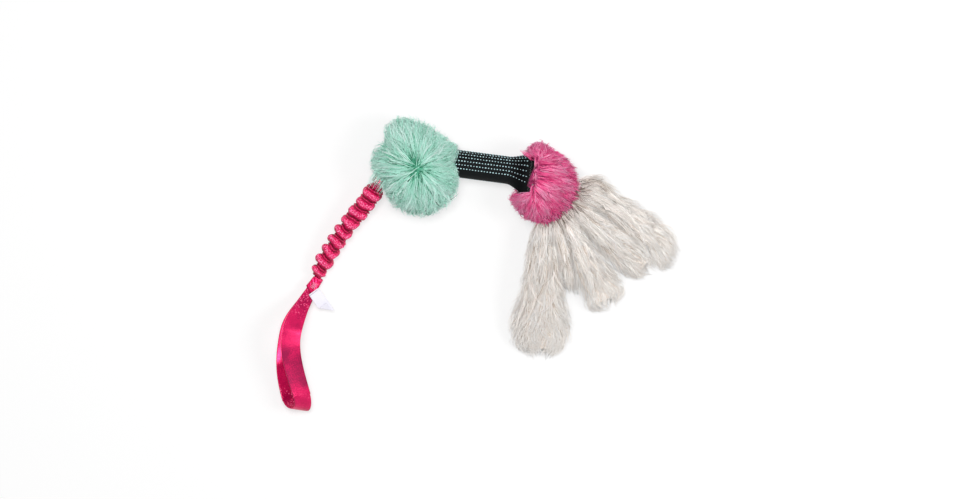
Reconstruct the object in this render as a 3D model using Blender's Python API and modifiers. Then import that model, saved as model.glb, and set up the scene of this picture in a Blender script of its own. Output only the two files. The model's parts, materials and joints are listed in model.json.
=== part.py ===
# Bungee tug toy: hand loop, gathered bungee, mint fur ball, woven bite tube, pink ruff, sheepskin tails.
# It lies flat on a table, z = 0. +X runs from the hand loop to the tails, +Y from the loop to the fur
# ball, +Z up. Sizes are in millimetres here and are turned to metres when a mesh is made.

import math

import bmesh
import bpy
from mathutils import Matrix, Vector

MM = 0.001
GAP = 0.3  # between pieces that touch

# Bite tube: a flat woven tube, blown up round by its filling and sewn flat at both ends
BITE_END = Vector((58.6, 93.7))
BITE_LEVEL = 26.0
BITE_HEADING = -7.5
BITE_LENGTH = 105.0
BITE_ROUND_RADIUS = 14.4
BITE_FLAT_HALF_WIDTH = 20.6
BITE_FLAT_HALF_HEIGHT = 3.2
BITE_WALL = 1.4
BITE_SEAM = 6.0
BITE_FLARE = 21.0
BITE_BOW = 2.4
FILLING_SET_IN = 15.0
FILLING_EASE = 0.7

# Spine strap through the bite tube
SPINE_WIDTH = 20.0
SPINE_THICKNESS = 2.0
SPINE_PAST_LEFT = 22.0
SPINE_PAST_RIGHT = 20.0

# Threads
THREAD_RADIUS = 0.5
SEAM_STITCH = 3.2
SEAM_ZIGZAG = 2.4
TACK_LEGS = 8
LINK_TACK_STEP = 1.6
LINK_TACK_HALF_WIDTH = 4.0
LINK_TACK_SET_IN = 4.0
NECK_TACK_EDGE = 1.2
LOOP_TACK_EDGE = 1.5

# Mint fur ball
MINT_SET_BACK = 19.0
MINT_DROP = 6.0
MINT_RADIUS = 42.0
MINT_TOP = 70.0
MINT_WIDEST = 30.0
MINT_FLAT = 1.5
MINT_LOBES = (  # heading, extra radius, half width of the lobe in degrees
    (116.0, 9.5, 32.0),
    (178.0, 1.5, 26.0),
    (-75.0, 7.0, 42.0),
    (-35.0, 4.0, 24.0),
    (-156.0, -6.0, 20.0),
)
BACKING_WALL = 1.5
MINT_BACKING_LEFT = 24.0
MINT_BACKING_END_HALF_WIDTH = 16.0
MINT_BACKING_ASIDE = 4.0
MINT_BACKING_SHOULDER = 2.0
MINT_BACKING_DROP = 2.6

# Folded strap from the bite tube to the bungee
LINK_WIDTH = 12.0
LINK_THICKNESS = 4.0
LINK_END_HEADING = 214.0
LINK_BEND = 16.0
LINK_SET_BACK = 3.0
LINK_TUNNEL_START = 0.2  # shares of the strap's length
LINK_TUNNEL_END = 1.08

# Bungee
SWING_HEADING = 202.5
SWING_RADIUS = 42.0
BUNGEE_HEADING = 238.2
BUNGEE_SLOPE = 8.3
YOKE_LENGTH = 9.0
YOKE_THICKNESS = 9.0
CUFF_RADIUS = 6.0
CUFF_WIDTH = 14.0
CUFF_LENGTH = 8.0
SLEEVE_LENGTH = 84.0
GATHERS = 10
GATHER_RADIUS = 10.6
VALLEY_RADIUS = 7.2
GATHER_SWAY = 1.1
STRAIGHT_GATHERS = 2
LAST_GATHER_SHARE = 0.4
CORE_RADIUS = 4.0
END_CUFF_LENGTH = 7.0
END_CUFF_RADIUS = 8.2
END_CUFF_LIP = 1.0
TAB_LENGTH = 10.5
TAB_WIDTH = 9.5
TAB_THICKNESS = 6.2
SCALLOP_RADIUS = 17.0

# Hand loop: one strap in a ring
STRAP_WIDTH = 24.5
STRAP_THICKNESS = 2.2
LOOP_NECK_WIDTH = 10.0
LOOP_FLARE = 46.0
LOOP_START_HEADING = 238.0
LOOP_END_HEADING = 286.5
LOOP_REACH = Vector((-21.0, -124.0))
LOOP_BOW = 54.0
LOOP_RISE = 33.0
LOOP_END_RISE = 27.0
LOOP_END_LIFT = 8.0
LOOP_LEAN = 1.5
LOOP_END_LEAN = 4.4
LOOP_ROLL = 28.0
LOOP_BEND_REACH = 13.0
LOOP_LEAN_AT = 0.4  # shares of the loop's length from here to LOOP_LIFT_AT
LOOP_TOP_AT = 0.55
LOOP_ROLL_AT = 0.5
LOOP_DOWN_AT = 0.2
LOOP_LIFT_AT = 0.72
STRAND_STEPS = 18
FOLD_STEPS = 5
BEND_STEPS = 12

# Blank tag
LABEL_LENGTH = 27.0
LABEL_WIDTH = 12.8
LABEL_THICKNESS = 0.6
LABEL_HEADING = -54.5
LABEL_AT = 0.09
LABEL_ASIDE = 4.0
LABEL_LIFT = 4.5
LABEL_DIP = 4.0
LOOP_TACK_FIRST = 0.03
LOOP_TACK_LAST = 0.075

# Pink ruff
RUFF_SET_OUT = 14.6
RUFF_SIDE = -7.0
RUFF_RADIUS = 39.0
RUFF_FAN_RADIUS = 32.5
RUFF_TOP = 62.0
RUFF_WIDEST = 28.0
RUFF_FLAT = 1.2
RUFF_BACKING_LENGTH = 5.0
RUFF_BACKING_SPARE = 2.0
RUFF_MOUTH_SPARE = 2.5
RUFF_MOUTH_LENGTH = 60.0
RUFF_SHOULDER = 25.0  # degrees over which it swells from the tails to its full radius

# Sheepskin tails, in a fan round the ruff's middle
TAIL_HINGE_RADIUS = 35.0
HIDE_THICKNESS = 3.0
TAB_PIVOT_RADIUS = 8.0
FAN_TAB_THICKNESS = 3.0
FAN_SWING = 18.0
FAN_SLOT_SPARE = 36.0
FAN_PAST_FIRST = 10.0
FAN_PAST_LAST = 12.0
FAN_TAB_BACK = 60.0
FAN_PIVOT_ROOM = 1.0
HIDE_SHARE = 0.6
HIDE_HALF_WIDTH = 10.0
HIDE_END_SHARE = 0.6
HIDE_SHORT = 40.0
HIDE_STEPS = 6
WOOL_START = 3.0
WOOL_ROOT = 1.2
WOOL_SLOPE = 1.0
WOOL_UP = 17.0
WOOL_TIP = 26.0
WOOL_TIP_SHARE = 0.25
WOOL_TIP_TOP = 17.0
WOOL_DROOP = 60.0
WOOL_FLAT = 2.0
WOOL_FILL = 0.84
WOOL_STEPS = 12
WOOL_CROWDING = 1.3  # over 1, the rings lie closer together towards the tip
TAILS = {  # heading from the ruff's middle, length from the hinge, half angle, sideways lean of the tip
    "tail_1": (-16.6, 117.0, 9.2, -21.0),
    "tail_2": (-39.5, 115.0, 10.0, -3.0),
    "tail_3": (-61.5, 108.0, 9.4, 0.0),
    "tail_4": (-75.6, 80.0, 4.2, 0.0),
    "tail_5": (-91.8, 144.0, 11.6, 0.0),
}

# What follows from the sizes above
def heading(degrees):
    return Vector((math.cos(math.radians(degrees)), math.sin(math.radians(degrees))))


def left_of(direction):
    return Vector((-direction.y, direction.x))


BITE_ALONG = heading(BITE_HEADING)
BITE_ACROSS = left_of(BITE_ALONG)
BITE_START = BITE_END - BITE_LENGTH * BITE_ALONG
MINT_CENTRE = BITE_START - MINT_SET_BACK * BITE_ALONG - MINT_DROP * BITE_ACROSS
LINK_LEVEL = BITE_LEVEL - SPINE_THICKNESS / 2 - GAP - LINK_THICKNESS / 2
SWING_POINT = MINT_CENTRE + SWING_RADIUS * heading(SWING_HEADING)
RUFF_CENTRE = BITE_END + RUFF_SET_OUT * BITE_ALONG + RUFF_SIDE * BITE_ACROSS
SEAM_ROOM = 2 * THREAD_RADIUS + 3 * GAP
FAN_LEVEL = BITE_LEVEL - SPINE_THICKNESS / 2 - GAP - FAN_TAB_THICKNESS / 2


def smooth(x):
    x = max(0.0, min(1.0, x))
    return x * x * (3 - 2 * x)


def mix(a, b, share):
    return a + (b - a) * share


def ease(x, first, last):
    return smooth((x - first) / (last - first))


def flat(point, level):
    return Vector((point.x, point.y, level))


# Scene, collections and materials
for old in list(bpy.data.objects):
    bpy.data.objects.remove(old, do_unlink=True)

parts = bpy.data.collections.new("bungee_tug_toy")
cutters = bpy.data.collections.new("cutters")
bpy.context.scene.collection.children.link(parts)
bpy.context.scene.collection.children.link(cutters)


def material(name, colour, roughness):
    made = bpy.data.materials.new(name)
    made.use_nodes = True
    shader = made.node_tree.nodes["Principled BSDF"]
    shader.inputs["Base Color"].default_value = (*colour, 1.0)
    shader.inputs["Roughness"].default_value = roughness
    shader.inputs["Metallic"].default_value = 0.0
    return made


PINK_WEBBING = material("pink_webbing", (0.62, 0.02, 0.12), 0.4)
PINK_THREAD = material("pink_thread", (0.80, 0.25, 0.40), 0.6)
ELASTIC = material("elastic", (0.75, 0.73, 0.70), 0.8)
MINT_FUR = material("mint_fur", (0.30, 0.72, 0.55), 0.9)
PINK_FUR = material("pink_fur", (0.80, 0.10, 0.34), 0.9)
BACKING = material("fur_backing", (0.55, 0.55, 0.55), 0.9)
BLACK_WEAVE = material("black_weave", (0.010, 0.012, 0.014), 0.7)
FILLING = material("filling", (0.85, 0.84, 0.80), 0.9)
BLACK_THREAD = material("black_thread", (0.02, 0.02, 0.02), 0.7)
WOOL = material("wool", (0.80, 0.75, 0.70), 0.9)
HIDE = material("hide", (0.70, 0.58, 0.45), 0.7)
LABEL_CLOTH = material("label_cloth", (0.85, 0.84, 0.90), 0.8)


# Ways to make a piece
def finish(obj, look):
    obj.data.materials.append(look)
    parts.objects.link(obj)
    return obj


def as_cutter(obj):
    for holder in list(obj.users_collection):
        holder.objects.unlink(obj)
    cutters.objects.link(obj)
    obj.hide_render = True
    obj.display_type = "WIRE"
    return obj


def mesh_object(name, bm, look):
    """An object from a bmesh whose points are in millimetres."""
    bmesh.ops.recalc_face_normals(bm, faces=bm.faces)
    bmesh.ops.scale(bm, vec=(MM, MM, MM), verts=bm.verts)
    mesh = bpy.data.meshes.new(name)
    bm.to_mesh(mesh)
    bm.free()
    mesh.shade_smooth()
    mesh.set_sharp_from_angle(angle=math.radians(40))
    return finish(bpy.data.objects.new(name, mesh), look)


def loft(name, rings, look, capped=True):
    """A skin through rings of the same number of points, closed at its ends or left open."""
    bm = bmesh.new()
    rows = [[bm.verts.new(point) for point in ring] for ring in rings]
    for first, second in zip(rows, rows[1:]):
        for i in range(len(first)):
            j = (i + 1) % len(first)
            bm.faces.new((first[i], first[j], second[j], second[i]))
    if capped:
        bm.faces.new(rows[0])
        bm.faces.new(rows[-1])
    return mesh_object(name, bm, look)


def box(name, size, look):
    """A box round its own origin."""
    bm = bmesh.new()
    bmesh.ops.create_cube(bm, size=1.0)
    bmesh.ops.scale(bm, vec=size, verts=bm.verts)
    return mesh_object(name, bm, look)


def place(obj, point, turn=Matrix.Identity(3)):
    obj.matrix_world = Matrix.Translation(Vector(point) * MM) @ turn.to_4x4()
    return obj


def turned(direction_heading, slope=0.0):
    """A rotation with +X along the heading, dipping by the slope."""
    return (
        Matrix.Rotation(math.radians(direction_heading), 3, "Z")
        @ Matrix.Rotation(math.radians(slope), 3, "Y")
    )


def plate(name, outline, thickness, look):
    """A flat outline in XY, extruded evenly to both sides."""
    curve = bpy.data.curves.new(name, "CURVE")
    curve.dimensions = "2D"
    curve.fill_mode = "BOTH"
    curve.extrude = thickness / 2 * MM
    spline = curve.splines.new("POLY")
    spline.points.add(len(outline) - 1)
    for slot, point in zip(spline.points, outline):
        slot.co = (point[0] * MM, point[1] * MM, 0, 1)
    spline.use_cyclic_u = True
    return finish(bpy.data.objects.new(name, curve), look)


def tube(name, points, radius, look, sides=2, radii=None):
    """A round tube along points, with filled caps."""
    curve = bpy.data.curves.new(name, "CURVE")
    curve.dimensions = "3D"
    curve.bevel_depth = radius * MM
    curve.bevel_resolution = sides
    curve.use_fill_caps = True
    spline = curve.splines.new("POLY")
    spline.points.add(len(points) - 1)
    for i, (slot, point) in enumerate(zip(spline.points, points)):
        slot.co = (*(Vector(point) * MM), 1)
        slot.radius = radii[i] / radius if radii else 1.0
    return finish(bpy.data.objects.new(name, curve), look)


def to_mesh(obj):
    """The curve object as a mesh object with its caps welded, in the same place."""
    bpy.context.view_layer.update()
    mesh = bpy.data.meshes.new_from_object(obj.evaluated_get(bpy.context.evaluated_depsgraph_get()))
    bm = bmesh.new()
    bm.from_mesh(mesh)
    bmesh.ops.remove_doubles(bm, verts=bm.verts, dist=1e-6)
    bmesh.ops.recalc_face_normals(bm, faces=bm.faces)
    bm.to_mesh(mesh)
    bm.free()
    name, matrix = obj.name, obj.matrix_world.copy()
    bpy.data.objects.remove(obj, do_unlink=True)
    made = bpy.data.objects.new(name, mesh)
    parts.objects.link(made)
    made.matrix_world = matrix
    return made


def triangulate(obj):
    """Bent four-sided faces are split first, so that the cut follows the same surface."""
    bm = bmesh.new()
    bm.from_mesh(obj.data)
    bmesh.ops.triangulate(bm, faces=bm.faces)
    bm.to_mesh(obj.data)
    bm.free()


def cut(obj, cutter):
    triangulate(obj)
    triangulate(cutter)
    as_cutter(cutter)
    modifier = obj.modifiers.new("cut_" + cutter.name, "BOOLEAN")
    modifier.operation = "DIFFERENCE"
    modifier.solver = "EXACT"
    modifier.object = cutter


def ribbon(name, rows, thickness, look, ring=False):
    """A strap from rows of points across it, given its thickness by Solidify."""
    bm = bmesh.new()
    made = [[bm.verts.new(point) for point in row] for row in rows]
    pairs = list(zip(made, made[1:]))
    if ring:
        pairs.append((made[-1], made[0]))
    for first, second in pairs:
        for i in range(len(first) - 1):
            bm.faces.new((first[i], first[i + 1], second[i + 1], second[i]))
    obj = mesh_object(name, bm, look)
    solidify = obj.modifiers.new("thickness", "SOLIDIFY")
    solidify.thickness = thickness * MM
    solidify.offset = 0
    solidify.use_even_offset = True
    return obj


def bezier(a, b, c, d, t):
    u = 1 - t
    return u**3 * a + 3 * u * u * t * b + 3 * u * t * t * c + t**3 * d


def blob(name, centre, radius_at, top, widest, sunk, look, around=30, up=16):
    """A ball of fur on the table: its radius varies with the heading, and its underside is flat."""
    bm = bmesh.new()
    bmesh.ops.create_uvsphere(bm, u_segments=around, v_segments=up, radius=1.0)
    for vert in bm.verts:
        x, y, z = vert.co
        reach = radius_at(math.degrees(math.atan2(y, x)))
        height = widest + (z * (top - widest) if z > 0 else z * (widest + sunk))
        vert.co = (centre.x + reach * x, centre.y + reach * y, max(height, 0.0))
    return mesh_object(name, bm, look)


def turn_between(first, second):
    return (first - second + 180) % 360 - 180


# Bite tube and what is in it
def bite_section(distance):
    """Half width and half height of the bite tube, this far from its nearer end."""
    share = smooth((distance - BITE_SEAM) / BITE_FLARE)
    width = mix(BITE_FLAT_HALF_WIDTH, BITE_ROUND_RADIUS, share)
    height = mix(BITE_FLAT_HALF_HEIGHT, BITE_ROUND_RADIUS, share)
    return width, height


def oval(along, half_width, half_height, drop=0.0, aside=0.0, points=24):
    """A ring across the bite tube's line, this far along it from its left end."""
    ring = []
    for i in range(points):
        angle = 2 * math.pi * i / points
        side = aside + half_width * math.cos(angle)
        at = BITE_START + along * BITE_ALONG + side * BITE_ACROSS
        ring.append(flat(at, BITE_LEVEL - drop + half_height * math.sin(angle)))
    return ring


def bite_stations(set_in=0.0):
    """Distances along the tube, close together in the flares and leaving out those near the ends."""
    near = [(BITE_SEAM + BITE_FLARE) * i / 8 for i in range(9)]
    near = [station for station in near if station >= set_in]
    far = [BITE_LENGTH - station for station in reversed(near)]
    return near + far


def bite_ring(along, grow=0.0):
    from_end = min(along, BITE_LENGTH - along)
    half_width, half_height = bite_section(from_end)
    bow = BITE_BOW * smooth((from_end - BITE_SEAM) / BITE_FLARE)
    return oval(along, half_width + grow, half_height + grow, aside=bow)


cover = loft("bite_cover", [bite_ring(s) for s in bite_stations()], BLACK_WEAVE, capped=False)
wall = cover.modifiers.new("wall", "SOLIDIFY")
wall.thickness = BITE_WALL * MM
wall.offset = -1
wall.use_even_offset = True

inside = -BITE_WALL - FILLING_EASE
filling = loft("bite_filling", [bite_ring(s, inside) for s in bite_stations(FILLING_SET_IN)], FILLING)
slot = box(
    "filling_slot",
    (BITE_LENGTH, SPINE_WIDTH + 2 * GAP, SPINE_THICKNESS + 2 * GAP),
    FILLING,
)
bite_turn = turned(BITE_HEADING)
place(slot, flat(BITE_START + BITE_LENGTH / 2 * BITE_ALONG, BITE_LEVEL), bite_turn)
cut(filling, slot)

spine_length = BITE_LENGTH + SPINE_PAST_LEFT + SPINE_PAST_RIGHT
spine = box("spine_strap", (spine_length, SPINE_WIDTH, SPINE_THICKNESS), PINK_WEBBING)
spine_middle = (BITE_LENGTH + SPINE_PAST_RIGHT - SPINE_PAST_LEFT) / 2
place(spine, flat(BITE_START + spine_middle * BITE_ALONG, BITE_LEVEL), bite_turn)


def bite_seam(name, along):
    """Zigzag thread across the flattened tube, on its upper face."""
    reach = BITE_FLAT_HALF_WIDTH - 3 * THREAD_RADIUS - BITE_WALL
    count = int(2 * reach / SEAM_STITCH)
    points = []
    for i in range(count + 1):
        side = mix(-reach, reach, i / count)
        share = 1 - (side / BITE_FLAT_HALF_WIDTH) ** 2
        level = BITE_FLAT_HALF_HEIGHT * math.sqrt(share) + GAP + THREAD_RADIUS
        step = SEAM_ZIGZAG / 2 * (1 if i % 2 else -1)
        at = BITE_START + (along + step) * BITE_ALONG + side * BITE_ACROSS
        points.append(flat(at, BITE_LEVEL + level))
    return tube(name, points, THREAD_RADIUS, BLACK_THREAD, sides=0)


bite_seam("bite_seam_left", BITE_SEAM / 2)
bite_seam("bite_seam_right", BITE_LENGTH - BITE_SEAM / 2)


# Mint fur ball, its backing and the strap to the bungee
def mint_radius(degrees):
    radius = MINT_RADIUS
    for lobe, extra, spread in MINT_LOBES:
        radius += extra * math.exp(-((turn_between(degrees, lobe) / spread) ** 2))
    return radius


def backing_rings(grow, past=0.0):
    """The mint backing's inner face: it follows the tube's flat end, then narrows round the link strap."""
    half_height = LINK_THICKNESS + SPINE_THICKNESS / 2 + 3 * GAP + grow
    rings = [bite_ring(station, SEAM_ROOM + grow) for station in reversed(bite_stations()[:4])]
    for back, half_width, aside in (
        (MINT_BACKING_SHOULDER, BITE_FLAT_HALF_WIDTH + SEAM_ROOM, 0.0),
        (MINT_BACKING_LEFT / 2, BITE_FLAT_HALF_WIDTH, 0.0),
        (MINT_BACKING_LEFT + past, MINT_BACKING_END_HALF_WIDTH, -MINT_BACKING_ASIDE),
    ):
        drop = MINT_BACKING_DROP * math.sqrt(back / MINT_BACKING_LEFT)
        rings.append(oval(-back, half_width + grow, half_height, drop, aside))
    return rings


mint_backing = loft("mint_backing", backing_rings(0.0), BACKING, capped=False)
wall = mint_backing.modifiers.new("wall", "SOLIDIFY")
wall.thickness = BACKING_WALL * MM
wall.offset = 1
wall.use_even_offset = True

link_start = BITE_START - LINK_SET_BACK * BITE_ALONG
link_end = SWING_POINT - (LINK_WIDTH / 2 + GAP) * heading(LINK_END_HEADING)


def link_at(t):
    return bezier(
        link_start,
        link_start - LINK_BEND * BITE_ALONG,
        link_end - LINK_BEND * heading(LINK_END_HEADING),
        link_end,
        t,
    )


def link_rows(half_width, first=0.0, last=1.0, count=9):
    rows = []
    for i in range(count):
        t = mix(first, last, i / (count - 1))
        along = (link_at(t + 0.01) - link_at(t - 0.01)).normalized()
        side = left_of(along)
        rows.append([flat(link_at(t) + half_width * s * side, LINK_LEVEL) for s in (-1, 0, 1)])
    return rows


ribbon("link_strap", link_rows(LINK_WIDTH / 2), LINK_THICKNESS, PINK_WEBBING)

tack_points = []
for i in range(TACK_LEGS + 1):
    back = SPINE_PAST_LEFT - LINK_TACK_SET_IN - i * LINK_TACK_STEP
    side = LINK_TACK_HALF_WIDTH * (1 if i % 2 else -1)
    at = BITE_START - back * BITE_ALONG + side * BITE_ACROSS
    tack_points.append(flat(at, BITE_LEVEL + SPINE_THICKNESS / 2 + GAP + THREAD_RADIUS))
tube("link_tack", tack_points, THREAD_RADIUS, PINK_THREAD, sides=0)

mint = blob("mint_fur", MINT_CENTRE, mint_radius, MINT_TOP, MINT_WIDEST, MINT_FLAT, MINT_FUR)
around = BACKING_WALL + 4 * GAP
hollow = [bite_ring(bite_stations()[4], SEAM_ROOM + around)] + backing_rings(around, 4 * GAP)
reach_out = [bite_ring(s, 2 * GAP) for s in bite_stations()[5:12]]
cut(mint, loft("mint_hollow", list(reversed(reach_out)) + hollow, MINT_FUR))
tunnel_rows = link_rows(LINK_WIDTH / 2 + GAP, LINK_TUNNEL_START, LINK_TUNNEL_END)
cut(mint, ribbon("link_tunnel", tunnel_rows, LINK_THICKNESS + 2 * GAP, MINT_FUR))


# Bungee: yoke, sleeve, elastic core, cuffs and neck
bungee_turn = turned(BUNGEE_HEADING, BUNGEE_SLOPE)
bungee_along = bungee_turn @ Vector((1, 0, 0))
swing_point = flat(SWING_POINT, LINK_LEVEL)
lift_point = swing_point + YOKE_LENGTH * flat(heading(BUNGEE_HEADING), 0.0)


def half_round(radius, length, sides=10):
    """An outline round its own origin: a half circle towards -X, straight on to length along +X."""
    points = []
    for i in range(sides + 1):
        angle = math.pi / 2 + math.pi * i / sides
        points.append((radius * math.cos(angle), radius * math.sin(angle)))
    return points + [(length, -radius), (length, radius)]


yoke_reach = YOKE_LENGTH - CUFF_RADIUS - GAP
yoke = plate("yoke", half_round(LINK_WIDTH / 2, yoke_reach), YOKE_THICKNESS, PINK_WEBBING)
place(yoke, swing_point, turned(BUNGEE_HEADING))

root_cuff = plate("root_cuff", half_round(CUFF_RADIUS, CUFF_LENGTH), CUFF_WIDTH, PINK_WEBBING)
place(root_cuff, lift_point, bungee_turn @ Matrix.Rotation(math.radians(90), 3, "X"))

scallop_bm = bmesh.new()
bmesh.ops.create_uvsphere(scallop_bm, u_segments=20, v_segments=12, radius=SCALLOP_RADIUS)
scallop = mesh_object("bungee_scallop", scallop_bm, MINT_FUR)
place(scallop, lift_point)
cut(mint, scallop)

sleeve_start = CUFF_LENGTH + GAP
sleeve_points = [(sleeve_start, 0.0, 0.0)]
sleeve_radii = [VALLEY_RADIUS]
pitch = SLEEVE_LENGTH / GATHERS
for i in range(GATHERS):
    fade = 1.0 if i < GATHERS - 1 else LAST_GATHER_SHARE
    straight = i < STRAIGHT_GATHERS or i >= GATHERS - STRAIGHT_GATHERS
    sway = 0.0 if straight else GATHER_SWAY * (1 if i % 2 else -1)
    sleeve_points.append((sleeve_start + (i + 0.5) * pitch, sway, 0.0))
    sleeve_radii.append(mix(VALLEY_RADIUS, GATHER_RADIUS, fade))
    sleeve_points.append((sleeve_start + (i + 1) * pitch, 0.0, 0.0))
    sleeve_radii.append(VALLEY_RADIUS)
sleeve = tube("bungee_sleeve", sleeve_points, GATHER_RADIUS, PINK_WEBBING, radii=sleeve_radii)
place(sleeve, lift_point, bungee_turn)
sleeve = to_mesh(sleeve)
bore = tube(
    "sleeve_bore",
    [(sleeve_start - CORE_RADIUS, 0, 0), (sleeve_start + SLEEVE_LENGTH + CORE_RADIUS, 0, 0)],
    CORE_RADIUS + GAP,
    PINK_WEBBING,
)
place(bore, lift_point, bungee_turn)
cut(sleeve, to_mesh(bore))

core_ends = [(sleeve_start, 0, 0), (sleeve_start + SLEEVE_LENGTH, 0, 0)]
core = tube("bungee_core", core_ends, CORE_RADIUS, ELASTIC)
place(core, lift_point, bungee_turn)

end_start = sleeve_start + SLEEVE_LENGTH + GAP
end_cuff = tube(
    "end_cuff",
    [(end_start, 0, 0), (end_start + END_CUFF_LENGTH / 2, 0, 0), (end_start + END_CUFF_LENGTH, 0, 0)],
    END_CUFF_RADIUS,
    PINK_WEBBING,
    radii=[VALLEY_RADIUS, END_CUFF_RADIUS, TAB_WIDTH / 2 + END_CUFF_LIP],
)
place(end_cuff, lift_point, bungee_turn)

tab_start = end_start + END_CUFF_LENGTH + GAP
neck_tab = box("neck_tab", (TAB_LENGTH, TAB_WIDTH, TAB_THICKNESS), PINK_WEBBING)
place(neck_tab, lift_point + (tab_start + TAB_LENGTH / 2) * bungee_along, bungee_turn)
neck_points = []
for i in range(TACK_LEGS + 1):
    x = tab_start + mix(NECK_TACK_EDGE, TAB_LENGTH - NECK_TACK_EDGE, i / TACK_LEGS)
    y = (TAB_WIDTH / 2 - NECK_TACK_EDGE) * (1 if i % 2 else -1)
    neck_points.append((x, y, TAB_THICKNESS / 2 + GAP + THREAD_RADIUS))
neck_tack = tube("neck_tack", neck_points, THREAD_RADIUS, PINK_THREAD, sides=0)
place(neck_tack, lift_point, bungee_turn)

# Hand loop: a ring of strap, its upper strand arched over the lower one
fold_radius = (STRAP_THICKNESS + GAP) / 2
fold_point = lift_point + (tab_start + TAB_LENGTH + STRAP_THICKNESS + 2 * GAP) * bungee_along
loop_start = Vector((fold_point.x, fold_point.y))
loop_end = loop_start + LOOP_REACH


def loop_middle(t):
    """The plan of the loop's centre line, from the neck to where its far bend begins."""
    return bezier(
        loop_start,
        loop_start + LOOP_BOW * heading(LOOP_START_HEADING),
        loop_end - LOOP_BOW * heading(LOOP_END_HEADING),
        loop_end,
        t,
    )


def loop_along(t):
    step = loop_middle(min(t + 0.01, 1.0)) - loop_middle(max(t - 0.01, 0.0))
    return step.normalized()


LOOP_LENGTH = sum(
    (loop_middle((i + 1) / 40) - loop_middle(i / 40)).length for i in range(40)
)


def strap_half_width(t):
    return mix(LOOP_NECK_WIDTH, STRAP_WIDTH, smooth(t * LOOP_LENGTH / LOOP_FLARE)) / 2


def upper_point(t):
    lean = mix(LOOP_LEAN * ease(t, 0, LOOP_LEAN_AT), LOOP_END_LEAN, ease(t, LOOP_LEAN_AT, 1))
    arch = mix(fold_point.z + fold_radius, LOOP_RISE, ease(t, 0, LOOP_TOP_AT))
    level = mix(arch, LOOP_END_RISE, ease(t, LOOP_ROLL_AT, 1))
    return flat(loop_middle(t) + lean * left_of(loop_along(t)), level)


def lower_point(t):
    level = mix(fold_point.z - fold_radius, STRAP_THICKNESS / 2, ease(t, 0, LOOP_DOWN_AT))
    level = mix(level, LOOP_END_LIFT, ease(t, LOOP_LIFT_AT, 1))
    lean = LOOP_END_LEAN * ease(t, LOOP_ROLL_AT, 1)
    return flat(loop_middle(t) - lean * left_of(loop_along(t)), level)


def upper_roll(t):
    return LOOP_ROLL * ease(t, 0, LOOP_ROLL_AT)


def strap_row(point, along, roll, half_width):
    """Points across the strap: its width lies across the way it runs, turned by the roll."""
    along = along.normalized()
    side = along.cross(Vector((0, 0, 1))).normalized()
    side = Matrix.Rotation(math.radians(roll), 3, along) @ side
    return [point + half_width * share * side for share in (-1, 0, 1)]


loop_rows = []
UP = Vector((0, 0, 1))
fold_out = flat(loop_along(0.0), 0.0)
for i in range(FOLD_STEPS):
    angle = math.pi * (i + 0.5) / FOLD_STEPS
    at = fold_point - fold_radius * (math.sin(angle) * fold_out + math.cos(angle) * UP)
    side = fold_out.cross(UP)
    loop_rows.append([at + LOOP_NECK_WIDTH / 2 * share * side for share in (-1, 0, 1)])
for i in range(STRAND_STEPS + 1):
    t = i / STRAND_STEPS
    step = upper_point(min(t + 0.02, 1.0)) - upper_point(max(t - 0.02, 0.0))
    loop_rows.append(strap_row(upper_point(t), step, -upper_roll(t), strap_half_width(t)))
bend_top, bend_bottom = upper_point(1.0), lower_point(1.0)
bend_middle = (bend_top + bend_bottom) / 2
bend_out = flat(loop_along(1.0), 0.0)
bend_side = bend_out.cross(bend_top - bend_bottom).normalized()
for i in range(1, BEND_STEPS):
    angle = math.pi * i / BEND_STEPS
    at = (
        bend_middle
        + (bend_top - bend_bottom) / 2 * math.cos(angle)
        + bend_out * LOOP_BEND_REACH * math.sin(angle)
    )
    loop_rows.append([at + STRAP_WIDTH / 2 * share * bend_side for share in (-1, 0, 1)])
for i in range(STRAND_STEPS + 1):
    t = 1 - i / STRAND_STEPS
    step = lower_point(min(t + 0.02, 1.0)) - lower_point(max(t - 0.02, 0.0))
    roll = LOOP_ROLL * ease(t, LOOP_LIFT_AT, 1)
    loop_rows.append(strap_row(lower_point(t), step, -roll, strap_half_width(t)))
ribbon("hand_loop", loop_rows, STRAP_THICKNESS, PINK_WEBBING, ring=True)

# Thread through both strands of the loop, just past the neck
loop_tack_points = []
for i in range(TACK_LEGS + 1):
    t = mix(LOOP_TACK_FIRST, LOOP_TACK_LAST, i / TACK_LEGS)
    along = upper_point(t + 0.01) - upper_point(t - 0.01)
    row = strap_row(upper_point(t), along, -upper_roll(t), LOOP_NECK_WIDTH / 2 - LOOP_TACK_EDGE)
    up = (row[0] - row[2]).cross(along).normalized()
    up = up if up.z > 0 else -up
    loop_tack_points.append(row[2 if i % 2 else 0] + (STRAP_THICKNESS / 2 + GAP + THREAD_RADIUS) * up)
tube("loop_tack", loop_tack_points, THREAD_RADIUS, PINK_THREAD, sides=0)

# Blank tag, its rounded sewn edge on the loop's neck
label_turn = turned(LABEL_HEADING, LABEL_DIP)
label_side = LABEL_ASIDE * left_of(loop_along(LABEL_AT))
label_root = upper_point(LABEL_AT) + flat(label_side, LABEL_LIFT)
label = box("label", (LABEL_LENGTH, LABEL_WIDTH, LABEL_THICKNESS), LABEL_CLOTH)
place(label, label_root + label_turn @ Vector((LABEL_LENGTH / 2, 0, 0)), label_turn)

# Pink ruff and its backing
TAIL_HEADINGS = [tail[0] for tail in TAILS.values()]
FAN_FIRST = max(TAIL_HEADINGS) + FAN_PAST_FIRST
FAN_LAST = min(TAIL_HEADINGS) - FAN_PAST_LAST


def in_fan(degrees, spare):
    middle = (FAN_FIRST + FAN_LAST) / 2
    half = (FAN_FIRST - FAN_LAST) / 2 + spare
    return abs(turn_between(degrees, middle)) <= half


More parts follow.
